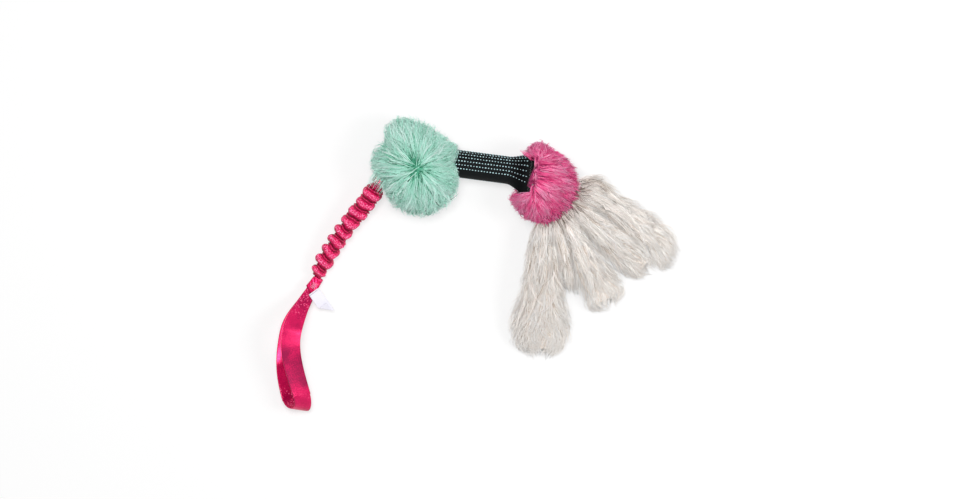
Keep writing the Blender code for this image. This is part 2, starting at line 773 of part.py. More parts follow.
def ruff_radius(degrees):
    middle = (FAN_FIRST + FAN_LAST) / 2
    half = (FAN_FIRST - FAN_LAST) / 2 + FAN_SWING
    past = abs(turn_between(degrees, middle)) - half
    return mix(RUFF_FAN_RADIUS, RUFF_RADIUS, smooth(past / RUFF_SHOULDER))


def ruff_backing_rings(first, last, grow):
    half_height = BITE_FLAT_HALF_HEIGHT + RUFF_BACKING_SPARE + grow
    return [oval(BITE_LENGTH + s, BITE_FLAT_HALF_WIDTH + grow, half_height) for s in (first, last)]


backing_rings_made = ruff_backing_rings(GAP, RUFF_BACKING_LENGTH, 0.0)
ruff_backing = loft("ruff_backing", backing_rings_made, BACKING, capped=False)
wall = ruff_backing.modifiers.new("wall", "SOLIDIFY")
wall.thickness = BACKING_WALL * MM
wall.offset = -1

ruff = blob("ruff_fur", RUFF_CENTRE, ruff_radius, RUFF_TOP, RUFF_WIDEST, RUFF_FLAT, PINK_FUR)
backing_room = ruff_backing_rings(-RUFF_BACKING_LENGTH, RUFF_BACKING_LENGTH + GAP, GAP)
cut(ruff, loft("ruff_backing_room", backing_room, PINK_FUR))
bite_room = box(
    "bite_room",
    (RUFF_MOUTH_LENGTH, 2 * (BITE_FLAT_HALF_WIDTH + RUFF_MOUTH_SPARE), 2 * (RUFF_TOP + GAP)),
    PINK_FUR,
)
place(bite_room, flat(BITE_END - (RUFF_MOUTH_LENGTH / 2 - GAP) * BITE_ALONG, 0.0), bite_turn)
cut(ruff, bite_room)
spine_room = box(
    "spine_room",
    (2 * (SPINE_PAST_RIGHT + GAP), SPINE_WIDTH + 2 * GAP, SPINE_THICKNESS + 2 * GAP),
    PINK_FUR,
)
place(spine_room, flat(BITE_END, BITE_LEVEL), bite_turn)
cut(ruff, spine_room)

# Tab that the tails are sewn to, in a flat slot in the ruff
tab_outline = []
flat_distance = TAIL_HINGE_RADIUS - HIDE_THICKNESS / 2 - GAP
for tail_heading, length, half_angle, lean in TAILS.values():
    root_half = TAIL_HINGE_RADIUS * math.tan(math.radians(half_angle)) * HIDE_SHARE
    out = heading(tail_heading)
    for side in (1, -1):
        tab_outline.append(flat_distance * out + side * root_half * left_of(out))
back_first = TAIL_HEADINGS[-1] - FAN_TAB_BACK
back_last = TAIL_HEADINGS[0] + FAN_TAB_BACK - 360.0
for i in range(9):
    tab_outline.append(TAB_PIVOT_RADIUS * heading(mix(back_first, back_last, i / 8)))
fan_tab = plate("fan_tab", tab_outline, FAN_TAB_THICKNESS, HIDE)
place(fan_tab, flat(RUFF_CENTRE, FAN_LEVEL))

slot_outline = []
for i in range(48):
    degrees = 360.0 * i / 48
    open_there = in_fan(degrees, FAN_SWING + FAN_SLOT_SPARE)
    reach = 2 * TAIL_HINGE_RADIUS if open_there else TAB_PIVOT_RADIUS + FAN_PIVOT_ROOM
    slot_outline.append(reach * heading(degrees))
fan_slot = plate("fan_slot", slot_outline, FAN_TAB_THICKNESS + 2 * GAP, PINK_FUR)
place(fan_slot, flat(RUFF_CENTRE, FAN_LEVEL))
cut(ruff, to_mesh(fan_slot))


# Sheepskin tails: a hide strip with wool all round it
def hide_outline(half_angle, length, lean, grow):
    """Seen from above: narrow at the hinge, wider along the tail, narrower again where it stops."""
    spread = math.tan(math.radians(half_angle)) * HIDE_SHARE
    stop = length - HIDE_SHORT
    upper, lower = [], []
    for i in range(HIDE_STEPS + 1):
        x = stop * i / HIDE_STEPS
        half = HIDE_HALF_WIDTH * (1 - math.exp(-(TAIL_HINGE_RADIUS + x) * spread / HIDE_HALF_WIDTH))
        if i == HIDE_STEPS:
            half *= HIDE_END_SHARE
            x += grow
        middle = lean * (x / length) ** 2
        upper.append((x, middle + half + grow))
        lower.append((x, middle - half - grow))
    return upper + list(reversed(lower))


def wool_ring(x, half_angle, length, lean, points=14):
    """A section of the wool: flat under it, and drawn in at the root and at the tip."""
    past_root = x - WOOL_START
    near_tip = max(0.0, x - length + WOOL_TIP) / WOOL_TIP
    tip = max(math.sqrt(max(0.0, 1 - near_tip**2)), WOOL_TIP_SHARE)
    wedge = (TAIL_HINGE_RADIUS + x) * math.tan(math.radians(half_angle)) * WOOL_FILL
    root = HIDE_THICKNESS / 2 + WOOL_ROOT + past_root * WOOL_SLOPE
    top = mix(FAN_LEVEL + min(root, WOOL_UP), WOOL_TIP_TOP, ease(x, length - WOOL_DROOP, length))
    bottom = FAN_LEVEL - min(root, FAN_LEVEL + WOOL_FLAT)
    top = mix(bottom, top, (1 + tip) / 2)
    half = wedge * tip
    ring = []
    for j in range(points):
        angle = 2 * math.pi * (j + 0.5) / points
        y = lean * (x / length) ** 2 + half * math.cos(angle)
        z = (top + bottom) / 2 + (top - bottom) / 2 * math.sin(angle)
        ring.append((x, y, max(z, 0.0) - FAN_LEVEL))
    return ring


def tail(name, tail_heading, length, half_angle, lean):
    hinge = flat(RUFF_CENTRE + TAIL_HINGE_RADIUS * heading(tail_heading), FAN_LEVEL)
    turn = turned(tail_heading)
    hide = plate(name + "_hide", hide_outline(half_angle, length, lean, 0.0), HIDE_THICKNESS, HIDE)
    place(hide, hinge, turn)
    room_outline = hide_outline(half_angle, length, lean, GAP)
    room = plate(name + "_room", room_outline, HIDE_THICKNESS + 2 * GAP, HIDE)
    place(room, hinge, turn)
    shares = [1 - (1 - i / WOOL_STEPS) ** WOOL_CROWDING for i in range(WOOL_STEPS + 1)]
    rings = [wool_ring(mix(WOOL_START, length, share), half_angle, length, lean) for share in shares]
    wool = loft(name + "_wool", rings, WOOL)
    place(wool, hinge, turn)
    cut(wool, to_mesh(room))


for name, sizes in TAILS.items():
    tail(name, *sizes)
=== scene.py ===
# Bungee tug toy, dressed: satin hand loop, gathered bungee, mint fur ball, woven bite tube, pink ruff, sheepskin tails.
# Metres, the toy lies on z = 0 and is seen from straight above, with +Y up in the picture.

import json
import math

import bmesh
import bpy
import numpy as np
from mathutils import Matrix, Vector


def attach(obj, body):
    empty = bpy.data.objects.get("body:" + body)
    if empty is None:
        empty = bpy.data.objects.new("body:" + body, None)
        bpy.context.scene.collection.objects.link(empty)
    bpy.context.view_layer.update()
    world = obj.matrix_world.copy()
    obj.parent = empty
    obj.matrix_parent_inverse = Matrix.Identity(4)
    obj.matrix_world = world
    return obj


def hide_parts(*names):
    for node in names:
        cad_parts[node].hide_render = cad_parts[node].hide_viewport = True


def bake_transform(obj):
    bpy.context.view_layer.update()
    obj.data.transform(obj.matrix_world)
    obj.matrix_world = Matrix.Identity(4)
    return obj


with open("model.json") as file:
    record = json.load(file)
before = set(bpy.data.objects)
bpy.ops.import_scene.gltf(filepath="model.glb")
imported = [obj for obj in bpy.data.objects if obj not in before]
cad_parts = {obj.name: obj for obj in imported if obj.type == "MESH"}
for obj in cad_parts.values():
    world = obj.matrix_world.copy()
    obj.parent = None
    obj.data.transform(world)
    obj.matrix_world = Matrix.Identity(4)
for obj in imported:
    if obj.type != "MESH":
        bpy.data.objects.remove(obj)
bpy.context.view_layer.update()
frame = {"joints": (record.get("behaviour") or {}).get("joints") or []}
joints = {joint["name"]: joint for joint in frame["joints"]}


def jointPoint(name):
    return Vector(joints[name]["pos_m"])


# Camera: the photograph's frame is 953 px wide, at 1.05 mm a pixel
view = {"frameWidth": 1.0007, "centre": (-0.0005, 0.0163), "level": 0.025, "distance": 3.2, "sensor": 36.0}

cameraData = bpy.data.cameras.new("camera")
cameraData.sensor_width = view["sensor"]
cameraData.lens = view["sensor"] * view["distance"] / view["frameWidth"]
cameraData.clip_end = 20.0
camera = bpy.data.objects.new("camera", cameraData)
camera.location = (*view["centre"], view["level"] + view["distance"])
bpy.context.scene.collection.objects.link(camera)
bpy.context.scene.camera = camera
bpy.context.scene.view_settings.view_transform = "Standard"


# Small helpers
def smooth(x):
    x = np.clip(x, 0.0, 1.0)
    return x * x * (3 - 2 * x)


def ease(x, first, last):
    return smooth((x - first) / (last - first))


def mix(a, b, share):
    return a + (b - a) * share


def headingVector(degrees):
    return Vector((math.cos(math.radians(degrees)), math.sin(math.radians(degrees)), 0.0))


def leftOf(direction):
    return Vector((-direction.y, direction.x, 0.0))


def bezier(a, b, c, d, t):
    u = 1 - t
    return u**3 * a + 3 * u * u * t * b + 3 * u * t * t * c + t**3 * d


def linear(hexColour):  # sRGB hex to linear RGBA
    channels = [int(hexColour[i : i + 2], 16) / 255 for i in (1, 3, 5)]
    return (*[c / 12.92 if c <= 0.04045 else ((c + 0.055) / 1.055) ** 2.4 for c in channels], 1.0)


def addNode(tree, kind, inputs=None, stops=None, **settings):
    # a node with its settings, a ramp's stops, and its inputs: values, sockets, or nodes for their first output
    node = tree.nodes.new(kind)
    for name, value in settings.items():
        setattr(node, name, value)
    for key, value in (inputs or {}).items():
        if isinstance(value, bpy.types.Node):
            value = value.outputs[0]
        if isinstance(value, bpy.types.NodeSocket):
            tree.links.new(value, node.inputs[key])
        else:
            node.inputs[key].default_value = value
    for i, (place, colour) in enumerate(stops or []):
        element = node.color_ramp.elements[i] if i < 2 else node.color_ramp.elements.new(place)
        element.position = place
        element.color = linear(colour)
    return node


def newMaterial(name, roughness, **sockets):  # returns the material, its tree and its shader
    made = bpy.data.materials.new(name)
    made.use_nodes = True
    shader = made.node_tree.nodes["Principled BSDF"]
    shader.inputs["Roughness"].default_value = roughness
    for socket, value in sockets.items():
        shader.inputs[socket.replace("_", " ")].default_value = value
    return made, made.node_tree, shader


def dress(tree, shader, colour, relief=None, depth=0.0002, strength=0.6):  # colour and relief onto a shader
    tree.links.new(colour, shader.inputs["Base Color"])
    if relief is not None:
        bump = addNode(tree, "ShaderNodeBump", {"Height": relief, "Distance": depth, "Strength": strength})
        tree.links.new(bump.outputs["Normal"], shader.inputs["Normal"])


def bandScale(pitch):  # a wave texture has a band each pi/10 of its vector at scale 1
    return math.pi / 10 / pitch


def meshObject(name, verts, faces, material, uvs=None):
    mesh = bpy.data.meshes.new(name)
    mesh.from_pydata([tuple(v) for v in verts], [], faces)
    if uvs is not None:
        layer = mesh.uv_layers.new(name="UVMap")
        corners = np.empty(len(mesh.loops), np.int32)
        mesh.loops.foreach_get("vertex_index", corners)
        layer.data.foreach_set("uv", np.asarray(uvs, np.float32)[corners].ravel())
    mesh.shade_smooth()
    mesh.materials.append(material)
    obj = bpy.data.objects.new(name, mesh)
    bpy.context.scene.collection.objects.link(obj)
    return obj


def turnOutward(obj):
    bm = bmesh.new()
    bm.from_mesh(obj.data)
    bmesh.ops.remove_doubles(bm, verts=bm.verts, dist=1e-7)
    bmesh.ops.recalc_face_normals(bm, faces=bm.faces)
    bm.to_mesh(obj.data)
    bm.free()
    return obj


def toPlainMesh(obj, name):  # what the modifiers make, as a new mesh object with none left on it
    bpy.context.view_layer.update()
    mesh = bpy.data.meshes.new_from_object(obj.evaluated_get(bpy.context.evaluated_depsgraph_get()))
    obj.modifiers.clear()
    bpy.data.objects.remove(obj, do_unlink=True)
    mesh.name = name
    made = bpy.data.objects.new(name, mesh)
    bpy.context.scene.collection.objects.link(made)
    return made


def loft(name, rings, material, ringClosed=False):
    # a skin through rings of points; its UV map is in metres, round the section and along the piece
    rings = np.array([[tuple(p) for p in ring] for ring in rings], float)
    rows, count = rings.shape[:2]
    around = np.linalg.norm(np.roll(rings, -1, axis=1) - rings, axis=2).mean(0)
    u = np.concatenate([[0.0], np.cumsum(around)])[:count]
    step = np.linalg.norm(np.diff(rings.mean(1), axis=0), axis=1)
    v = np.concatenate([[0.0], np.cumsum(step)])
    uvs = np.stack(np.meshgrid(u, v), axis=2).reshape(-1, 2)
    faces = []
    for i in range(rows if ringClosed else rows - 1):
        k = (i + 1) % rows
        for j in range(count):
            n = (j + 1) % count
            faces.append((i * count + j, i * count + n, k * count + n, k * count + j))
    if not ringClosed:
        faces += [tuple(range(count)), tuple(range((rows - 1) * count, rows * count))]
    return turnOutward(meshObject(name, rings.reshape(-1, 3), faces, material, uvs))


def thinSheet(name, sides, material):  # one closed skin from a grid of points for each side: side, row, column, xyz
    rows, columns = sides.shape[1] - 1, sides.shape[2] - 1
    half = (rows + 1) * (columns + 1)
    faces = []
    for i in range(rows):
        for j in range(columns):
            a = i * (columns + 1) + j
            b = a + columns + 1
            faces += [(a, b, b + 1, a + 1), (half + a, half + a + 1, half + b + 1, half + b)]
    rim = [(0, j) for j in range(columns)] + [(i, columns) for i in range(rows)]
    rim += [(rows, j) for j in range(columns, 0, -1)] + [(i, 0) for i in range(rows, 0, -1)]
    ids = [i * (columns + 1) + j for i, j in rim]
    faces += [(a, b, half + b, half + a) for a, b in zip(ids, ids[1:] + ids[:1])]
    return turnOutward(meshObject(name, sides.reshape(-1, 3), faces, material))


def markFolds(piece, tones):  # how lit each point is, for the gathered cloth's colour
    piece.data.attributes.new("fold", "FLOAT", "POINT").data.foreach_set("value", tones.astype(np.float32).ravel())
    return piece


def fit(piece, body, slot, *nodes):  # the body it rides on, its slot (not used), and the solids it stands for
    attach(piece, body)
    if nodes:
        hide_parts(*nodes)
    return piece


# Materials; the scales of noise and dots are counts in a metre
satin = {  # places are metres along the strap, from its fold at the neck
    "roughness": 0.22, "dullShadedRoughness": 0.42, "tint": "#FF789C", "ribPitch": 0.0011,
    "patches": 60.0, "specks": 1000.0, "dots": 480.0,
    # where painted glints are laid on the strap
    "neckGlints": (0.034, 0.058), "turnAt": 0.176, "turnGlints": (0.008, 0.018),
    # a band that is rougher and darkened as painted shade
    "dullShadedFrom": (0.080, 0.094), "dullShadedTo": (0.129, 0.138), "paintedShadeTone": -0.14,
    "stops": [(0.08, "#86083E"), (0.20, "#C20E50"), (0.34, "#DE1A5E"), (0.50, "#FF7AA6")],
}
gathers = {
    "roughness": 0.2, "tint": "#FF6A9C", "weavePitch": 0.0012, "reliefDepth": 0.0006,
    "specks": 640.0, "glintTone": 1.5, "baseTone": -0.90,
    # the low stops are painted shade in the folds, the top stop the colour of painted glints
    "stops": [(0.0, "#8C0634"), (0.26, "#B80E48"), (0.56, "#D21454"), (0.80, "#EC2C6A"), (1.0, "#FF8CB8")],
}


def satinWebbing():
    # polyester satin webbing, dyed crimson: a long soft gloss, fine ribs across it, painted glints near the neck and
    # the turn, and a band made rougher and darkened with painted shade
    made, tree, shader = newMaterial(
        "satin_polyester_webbing", satin["roughness"], Metallic=0.2, Specular_IOR_Level=0.8, Sheen_Weight=0.05,
        Sheen_Roughness=0.4,
    )
    shader.inputs["Specular Tint"].default_value = linear(satin["tint"])
    place = addNode(tree, "ShaderNodeTexCoord").outputs["UV"]
    length = addNode(tree, "ShaderNodeSeparateXYZ", {0: place}).outputs["Y"]
    ribs = addNode(
        tree, "ShaderNodeTexWave",
        {"Vector": place, "Scale": bandScale(satin["ribPitch"]), "Distortion": 0.6, "Detail": 1.0}, bands_direction="Y",
    )
    patches = addNode(tree, "ShaderNodeTexNoise", {"Vector": place, "Scale": satin["patches"], "Detail": 3.0})
    specks = addNode(tree, "ShaderNodeTexNoise", {"Vector": place, "Scale": satin["specks"], "Detail": 2.0})
    tone = addNode(tree, "ShaderNodeMath", {0: patches, 1: specks}, operation="MULTIPLY")
    (neckFrom, neckTo), (turnFrom, turnTo) = satin["neckGlints"], satin["turnGlints"]
    nearNeck = addNode(
        tree, "ShaderNodeMapRange",
        {"Value": length, "From Min": neckFrom, "From Max": neckTo, "To Min": 1.0, "To Max": 0.03},
    )
    fromTurn = addNode(tree, "ShaderNodeMath", {0: length, 1: satin["turnAt"]}, operation="SUBTRACT")
    fromTurn = addNode(tree, "ShaderNodeMath", {0: fromTurn}, operation="ABSOLUTE")
    nearTurn = addNode(
        tree, "ShaderNodeMapRange",
        {"Value": fromTurn, "From Min": turnFrom, "From Max": turnTo, "To Min": 0.9, "To Max": 0.0},
    )
    glintZone = addNode(tree, "ShaderNodeMath", {0: nearNeck, 1: nearTurn}, operation="MAXIMUM")
    # painted glints: bright dots on a darker ground, coarser than the weave's real glints, so that they show
    dots = addNode(tree, "ShaderNodeTexVoronoi", {"Vector": place, "Scale": satin["dots"]})
    paintedGlints = addNode(
        tree, "ShaderNodeMapRange",
        {"Value": dots, "From Min": 0.10, "From Max": 0.42, "To Min": 0.46, "To Max": -0.09},
    )
    tone = addNode(tree, "ShaderNodeMath", {0: paintedGlints, 1: glintZone, 2: tone}, operation="MULTIPLY_ADD")
    (zoneFrom, zoneIn), (zoneOut, zoneTo) = satin["dullShadedFrom"], satin["dullShadedTo"]
    zoneRise = addNode(
        tree, "ShaderNodeMapRange", {"Value": length, "From Min": zoneFrom, "From Max": zoneIn},
        interpolation_type="SMOOTHSTEP",
    )
    past = addNode(
        tree, "ShaderNodeMapRange",
        {"Value": length, "From Min": zoneOut, "From Max": zoneTo, "To Min": 1.0, "To Max": 0.0},
        interpolation_type="SMOOTHSTEP",
    )
    dullShadedZone = addNode(tree, "ShaderNodeMath", {0: zoneRise, 1: past}, operation="MULTIPLY")  # rougher here, and darker: painted shade where the strap slopes away from the light
    tone = addNode(tree, "ShaderNodeMath", {0: dullShadedZone, 1: satin["paintedShadeTone"], 2: tone}, operation="MULTIPLY_ADD")
    colour = addNode(tree, "ShaderNodeValToRGB", {0: tone}, satin["stops"])
    dull = addNode(
        tree, "ShaderNodeMapRange", {"Value": dullShadedZone, "To Min": satin["roughness"], "To Max": satin["dullShadedRoughness"]},
    )
    tree.links.new(dull.outputs[0], shader.inputs["Roughness"])
    dress(tree, shader, colour.outputs["Color"], ribs.outputs["Fac"], 0.0001, 0.2)
    return made


def wovenSleeve():
    # the same webbing gathered on its elastic; its colour follows the fold tone, painted light on the ridges and
    # painted shade in the folds and on each gather's lower rim, with painted glints in small specks
    made, tree, shader = newMaterial(
        "gathered_satin_sleeve", gathers["roughness"], Metallic=0.25, Specular_IOR_Level=0.9, Sheen_Weight=0.05,
        Sheen_Roughness=0.35,
    )
    shader.inputs["Specular Tint"].default_value = linear(gathers["tint"])
    place = addNode(tree, "ShaderNodeTexCoord").outputs["UV"]
    fold = addNode(tree, "ShaderNodeAttribute", attribute_name="fold").outputs["Fac"]
    weave = addNode(
        tree, "ShaderNodeTexWave",
        {"Vector": place, "Scale": bandScale(gathers["weavePitch"]), "Distortion": 2.0, "Detail": 2.0},
        bands_direction="X",
    )
    # painted glints: this noise lifts the tone in small bright specks, and also makes the relief
    specks = addNode(
        tree, "ShaderNodeTexNoise", {"Vector": place, "Scale": gathers["specks"], "Detail": 2.0, "Roughness": 0.6},
    )
    tone = addNode(
        tree, "ShaderNodeMath", {0: specks, 1: gathers["glintTone"], 2: gathers["baseTone"]}, operation="MULTIPLY_ADD",
    )
    tone = addNode(tree, "ShaderNodeMath", {0: fold, 1: tone}, operation="ADD")
    colour = addNode(tree, "ShaderNodeValToRGB", {0: tone}, gathers["stops"])
    height = addNode(tree, "ShaderNodeMath", {0: specks, 1: 2.0, 2: weave.outputs["Fac"]}, operation="MULTIPLY_ADD")
    dress(tree, shader, colour.outputs["Color"], height.outputs[0], gathers["reliefDepth"], 0.7)
    return made


def spunThread(name, colour, shade):
    # twisted polyester sewing thread: soft, with its turns just visible
    made, tree, shader = newMaterial(name, 0.6, Sheen_Weight=0.3)
    place = addNode(tree, "ShaderNodeTexCoord").outputs["Object"]
    turns = addNode(
        tree, "ShaderNodeTexWave", {"Vector": place, "Scale": bandScale(0.0006), "Distortion": 1.5},
        bands_direction="DIAGONAL",
    )
    ramp = addNode(tree, "ShaderNodeValToRGB", {0: turns.outputs["Fac"]}, [(0.2, shade), (0.7, colour)])
    dress(tree, shader, ramp.outputs["Color"], turns.outputs["Fac"], 0.00008)
    return made


def pileFibre(name, stops, weights, tip=None, roughness=0.62, sheen=0.15):
    # acrylic or wool pile: painted shade darkens the fibres towards their roots and painted highlight brightens them
    # towards the tips; each lock and fibre also differs in tone at random
    made, tree, shader = newMaterial(name, roughness, Specular_IOR_Level=0.2, Sheen_Weight=sheen, Sheen_Roughness=0.5)
    along = addNode(tree, "ShaderNodeAttribute", attribute_name="along").outputs["Fac"]
    tone = addNode(tree, "ShaderNodeAttribute", attribute_name="tone").outputs["Fac"]
    shade = addNode(tree, "ShaderNodeAttribute", attribute_name="shade").outputs["Fac"]
    place = addNode(tree, "ShaderNodeTexCoord").outputs["Object"]
    patches = addNode(tree, "ShaderNodeTexNoise", {"Vector": place, "Scale": 90.0, "Detail": 3.0}).outputs["Fac"]
    value = 0.0
    for source, weight in zip((along, tone, shade, patches), weights):
        value = addNode(tree, "ShaderNodeMath", {0: source, 1: weight, 2: value}, operation="MULTIPLY_ADD").outputs[0]
    colour = addNode(tree, "ShaderNodeValToRGB", {0: value}, stops).outputs["Color"]
    # painted shade: where given, the fibres darken again at their ends
    if tip:
        share = addNode(
            tree, "ShaderNodeMapRange", {"Value": along, "From Min": 0.7, "From Max": 1.0, "To Max": tip[1]},
        )
        colour = addNode(
            tree, "ShaderNodeMixRGB", {"Fac": share, "Color1": colour, "Color2": linear(tip[0])},
        ).outputs[0]
    dress(tree, shader, colour)
    facing = addNode(tree, "ShaderNodeNewGeometry").outputs["Normal"]
    # light passes through a fine fibre
    raised = addNode(tree, "ShaderNodeVectorMath", {0: facing, 1: (0, 0, 0.8)}, operation="ADD")
    evened = addNode(tree, "ShaderNodeVectorMath", {0: raised}, operation="NORMALIZE")
    tree.links.new(evened.outputs[0], shader.inputs["Normal"])
    return made


def pileBacking(name, low, high):
    # knitted base of the fur, mottled in tufts, under the locks; the mint and pink bases are coloured dark as painted
    # shade deep in the pile
    made, tree, shader = newMaterial(name, 0.9, Sheen_Weight=0.2)
    place = addNode(tree, "ShaderNodeTexCoord").outputs["Object"]
    tufts = addNode(tree, "ShaderNodeTexNoise", {"Vector": place, "Scale": 350.0, "Detail": 4.0})
    ramp = addNode(tree, "ShaderNodeValToRGB", {0: tufts.outputs["Fac"]}, [(0.35, low), (0.65, high)])
    dress(tree, shader, ramp.outputs["Color"], tufts.outputs["Fac"], 0.0012, 0.8)
    return made


def cloth(name, low, high, pitch, roughness=0.85, sheen=0.1, depth=0.00015, gloss=0.5):
    # plain woven cloth: warp and weft cross each other at the given pitch
    made, tree, shader = newMaterial(name, roughness, Sheen_Weight=sheen, Specular_IOR_Level=gloss)
    place = addNode(tree, "ShaderNodeTexCoord").outputs["Object"]
    warp = addNode(tree, "ShaderNodeTexWave", {"Vector": place, "Scale": bandScale(pitch)}, bands_direction="X")
    weft = addNode(tree, "ShaderNodeTexWave", {"Vector": place, "Scale": bandScale(pitch)}, bands_direction="Y")
    cross = addNode(tree, "ShaderNodeMath", {0: warp.outputs["Fac"], 1: weft.outputs["Fac"]}, operation="MAXIMUM")
    stains = addNode(tree, "ShaderNodeTexNoise", {"Vector": place, "Scale": 60.0, "Detail": 3.0})
    value = addNode(tree, "ShaderNodeMath", {0: stains.outputs["Fac"], 1: 0.6, 2: 0.0}, operation="MULTIPLY_ADD")
    value = addNode(tree, "ShaderNodeMath", {0: cross, 1: 0.4, 2: value}, operation="MULTIPLY_ADD")
    ramp = addNode(tree, "ShaderNodeValToRGB", {0: value}, [(0.3, low), (0.75, high)])
    dress(tree, shader, ramp.outputs["Color"], cross.outputs[0], depth)
    return made


webbing = satinWebbing()
sleeveWebbing = wovenSleeve()
pinkThread = spunThread("pink_polyester_thread", "#F58FB4", "#C9446F")
blackThread = spunThread("black_polyester_thread", "#23272B", "#0B0D0F")
paleThread = spunThread("pale_cyan_yarn", "#DCFCFF", "#AEE0E8")
blackWeave = cloth("black_woven_nylon", "#030506", "#0C1012", 0.0011, 0.7, 0.01, gloss=0.12)
labelCloth = cloth("white_satin_ribbon", "#DCDBE8", "#F4F2FB", 0.0007, 0.55, 0.2, 0.00006)
baseKnit = cloth("knitted_fur_base", "#6E7472", "#9AA19E", 0.0016)
stuffing = pileBacking("polyester_stuffing", "#CFCDC6", "#E9E7E0")
hideLeather = pileBacking("tanned_sheep_hide", "#B49A7C", "#CDB595")
rubberCord = spunThread("braided_elastic_cord", "#D8D4CC", "#A8A49C")
mintFibre = pileFibre(
    "mint_acrylic_pile",
    [(0.10, "#1E6E4E"), (0.28, "#68BE9E"), (0.50, "#AEEAD6"), (0.68, "#C0F7E6"), (0.92, "#E6FFF8")],
    (0.28, 0.42, 0.36, 0.2),
)
# dark, as painted shade deep in the pile
mintBase = pileBacking("mint_fur_base", "#1F6E50", "#56AC8C")
# the darker colour at the ends of the pink fibres is painted shade
pinkFibre = pileFibre(
    "pink_acrylic_pile", [(0.12, "#7E1446"), (0.33, "#DC3478"), (0.61, "#F966A2"), (0.90, "#FFAAD0")],
    (0.25, 0.5, 0.35, 0.2), ("#A83C70", 0.35),
)
# dark, as painted shade deep in the pile
pinkBase = pileBacking("pink_fur_base", "#8E1F52", "#C8447F")
woolFibre = pileFibre(
    "sheepskin_wool",
    [(0.0, "#54483F"), (0.15, "#A6968A"), (0.26, "#E4D8CC"), (0.38, "#FAF2EC"), (0.58, "#FFFAF4"), (0.9, "#FFFFFF")],
    (0.15, 0.5, 0.15, 0.2), None, 0.8, 0.15,
)
stringWool = pileFibre(
    "twisted_wool_strings", [(0.1, "#E6D2C6"), (0.45, "#FBF0E8"), (0.8, "#FFFFFF")], (0.1, 0.5, 0.2, 0.3),
)
woolBase = pileBacking("sheepskin_wool_base", "#E4D6CA", "#FFF6EE")
print("materials made")


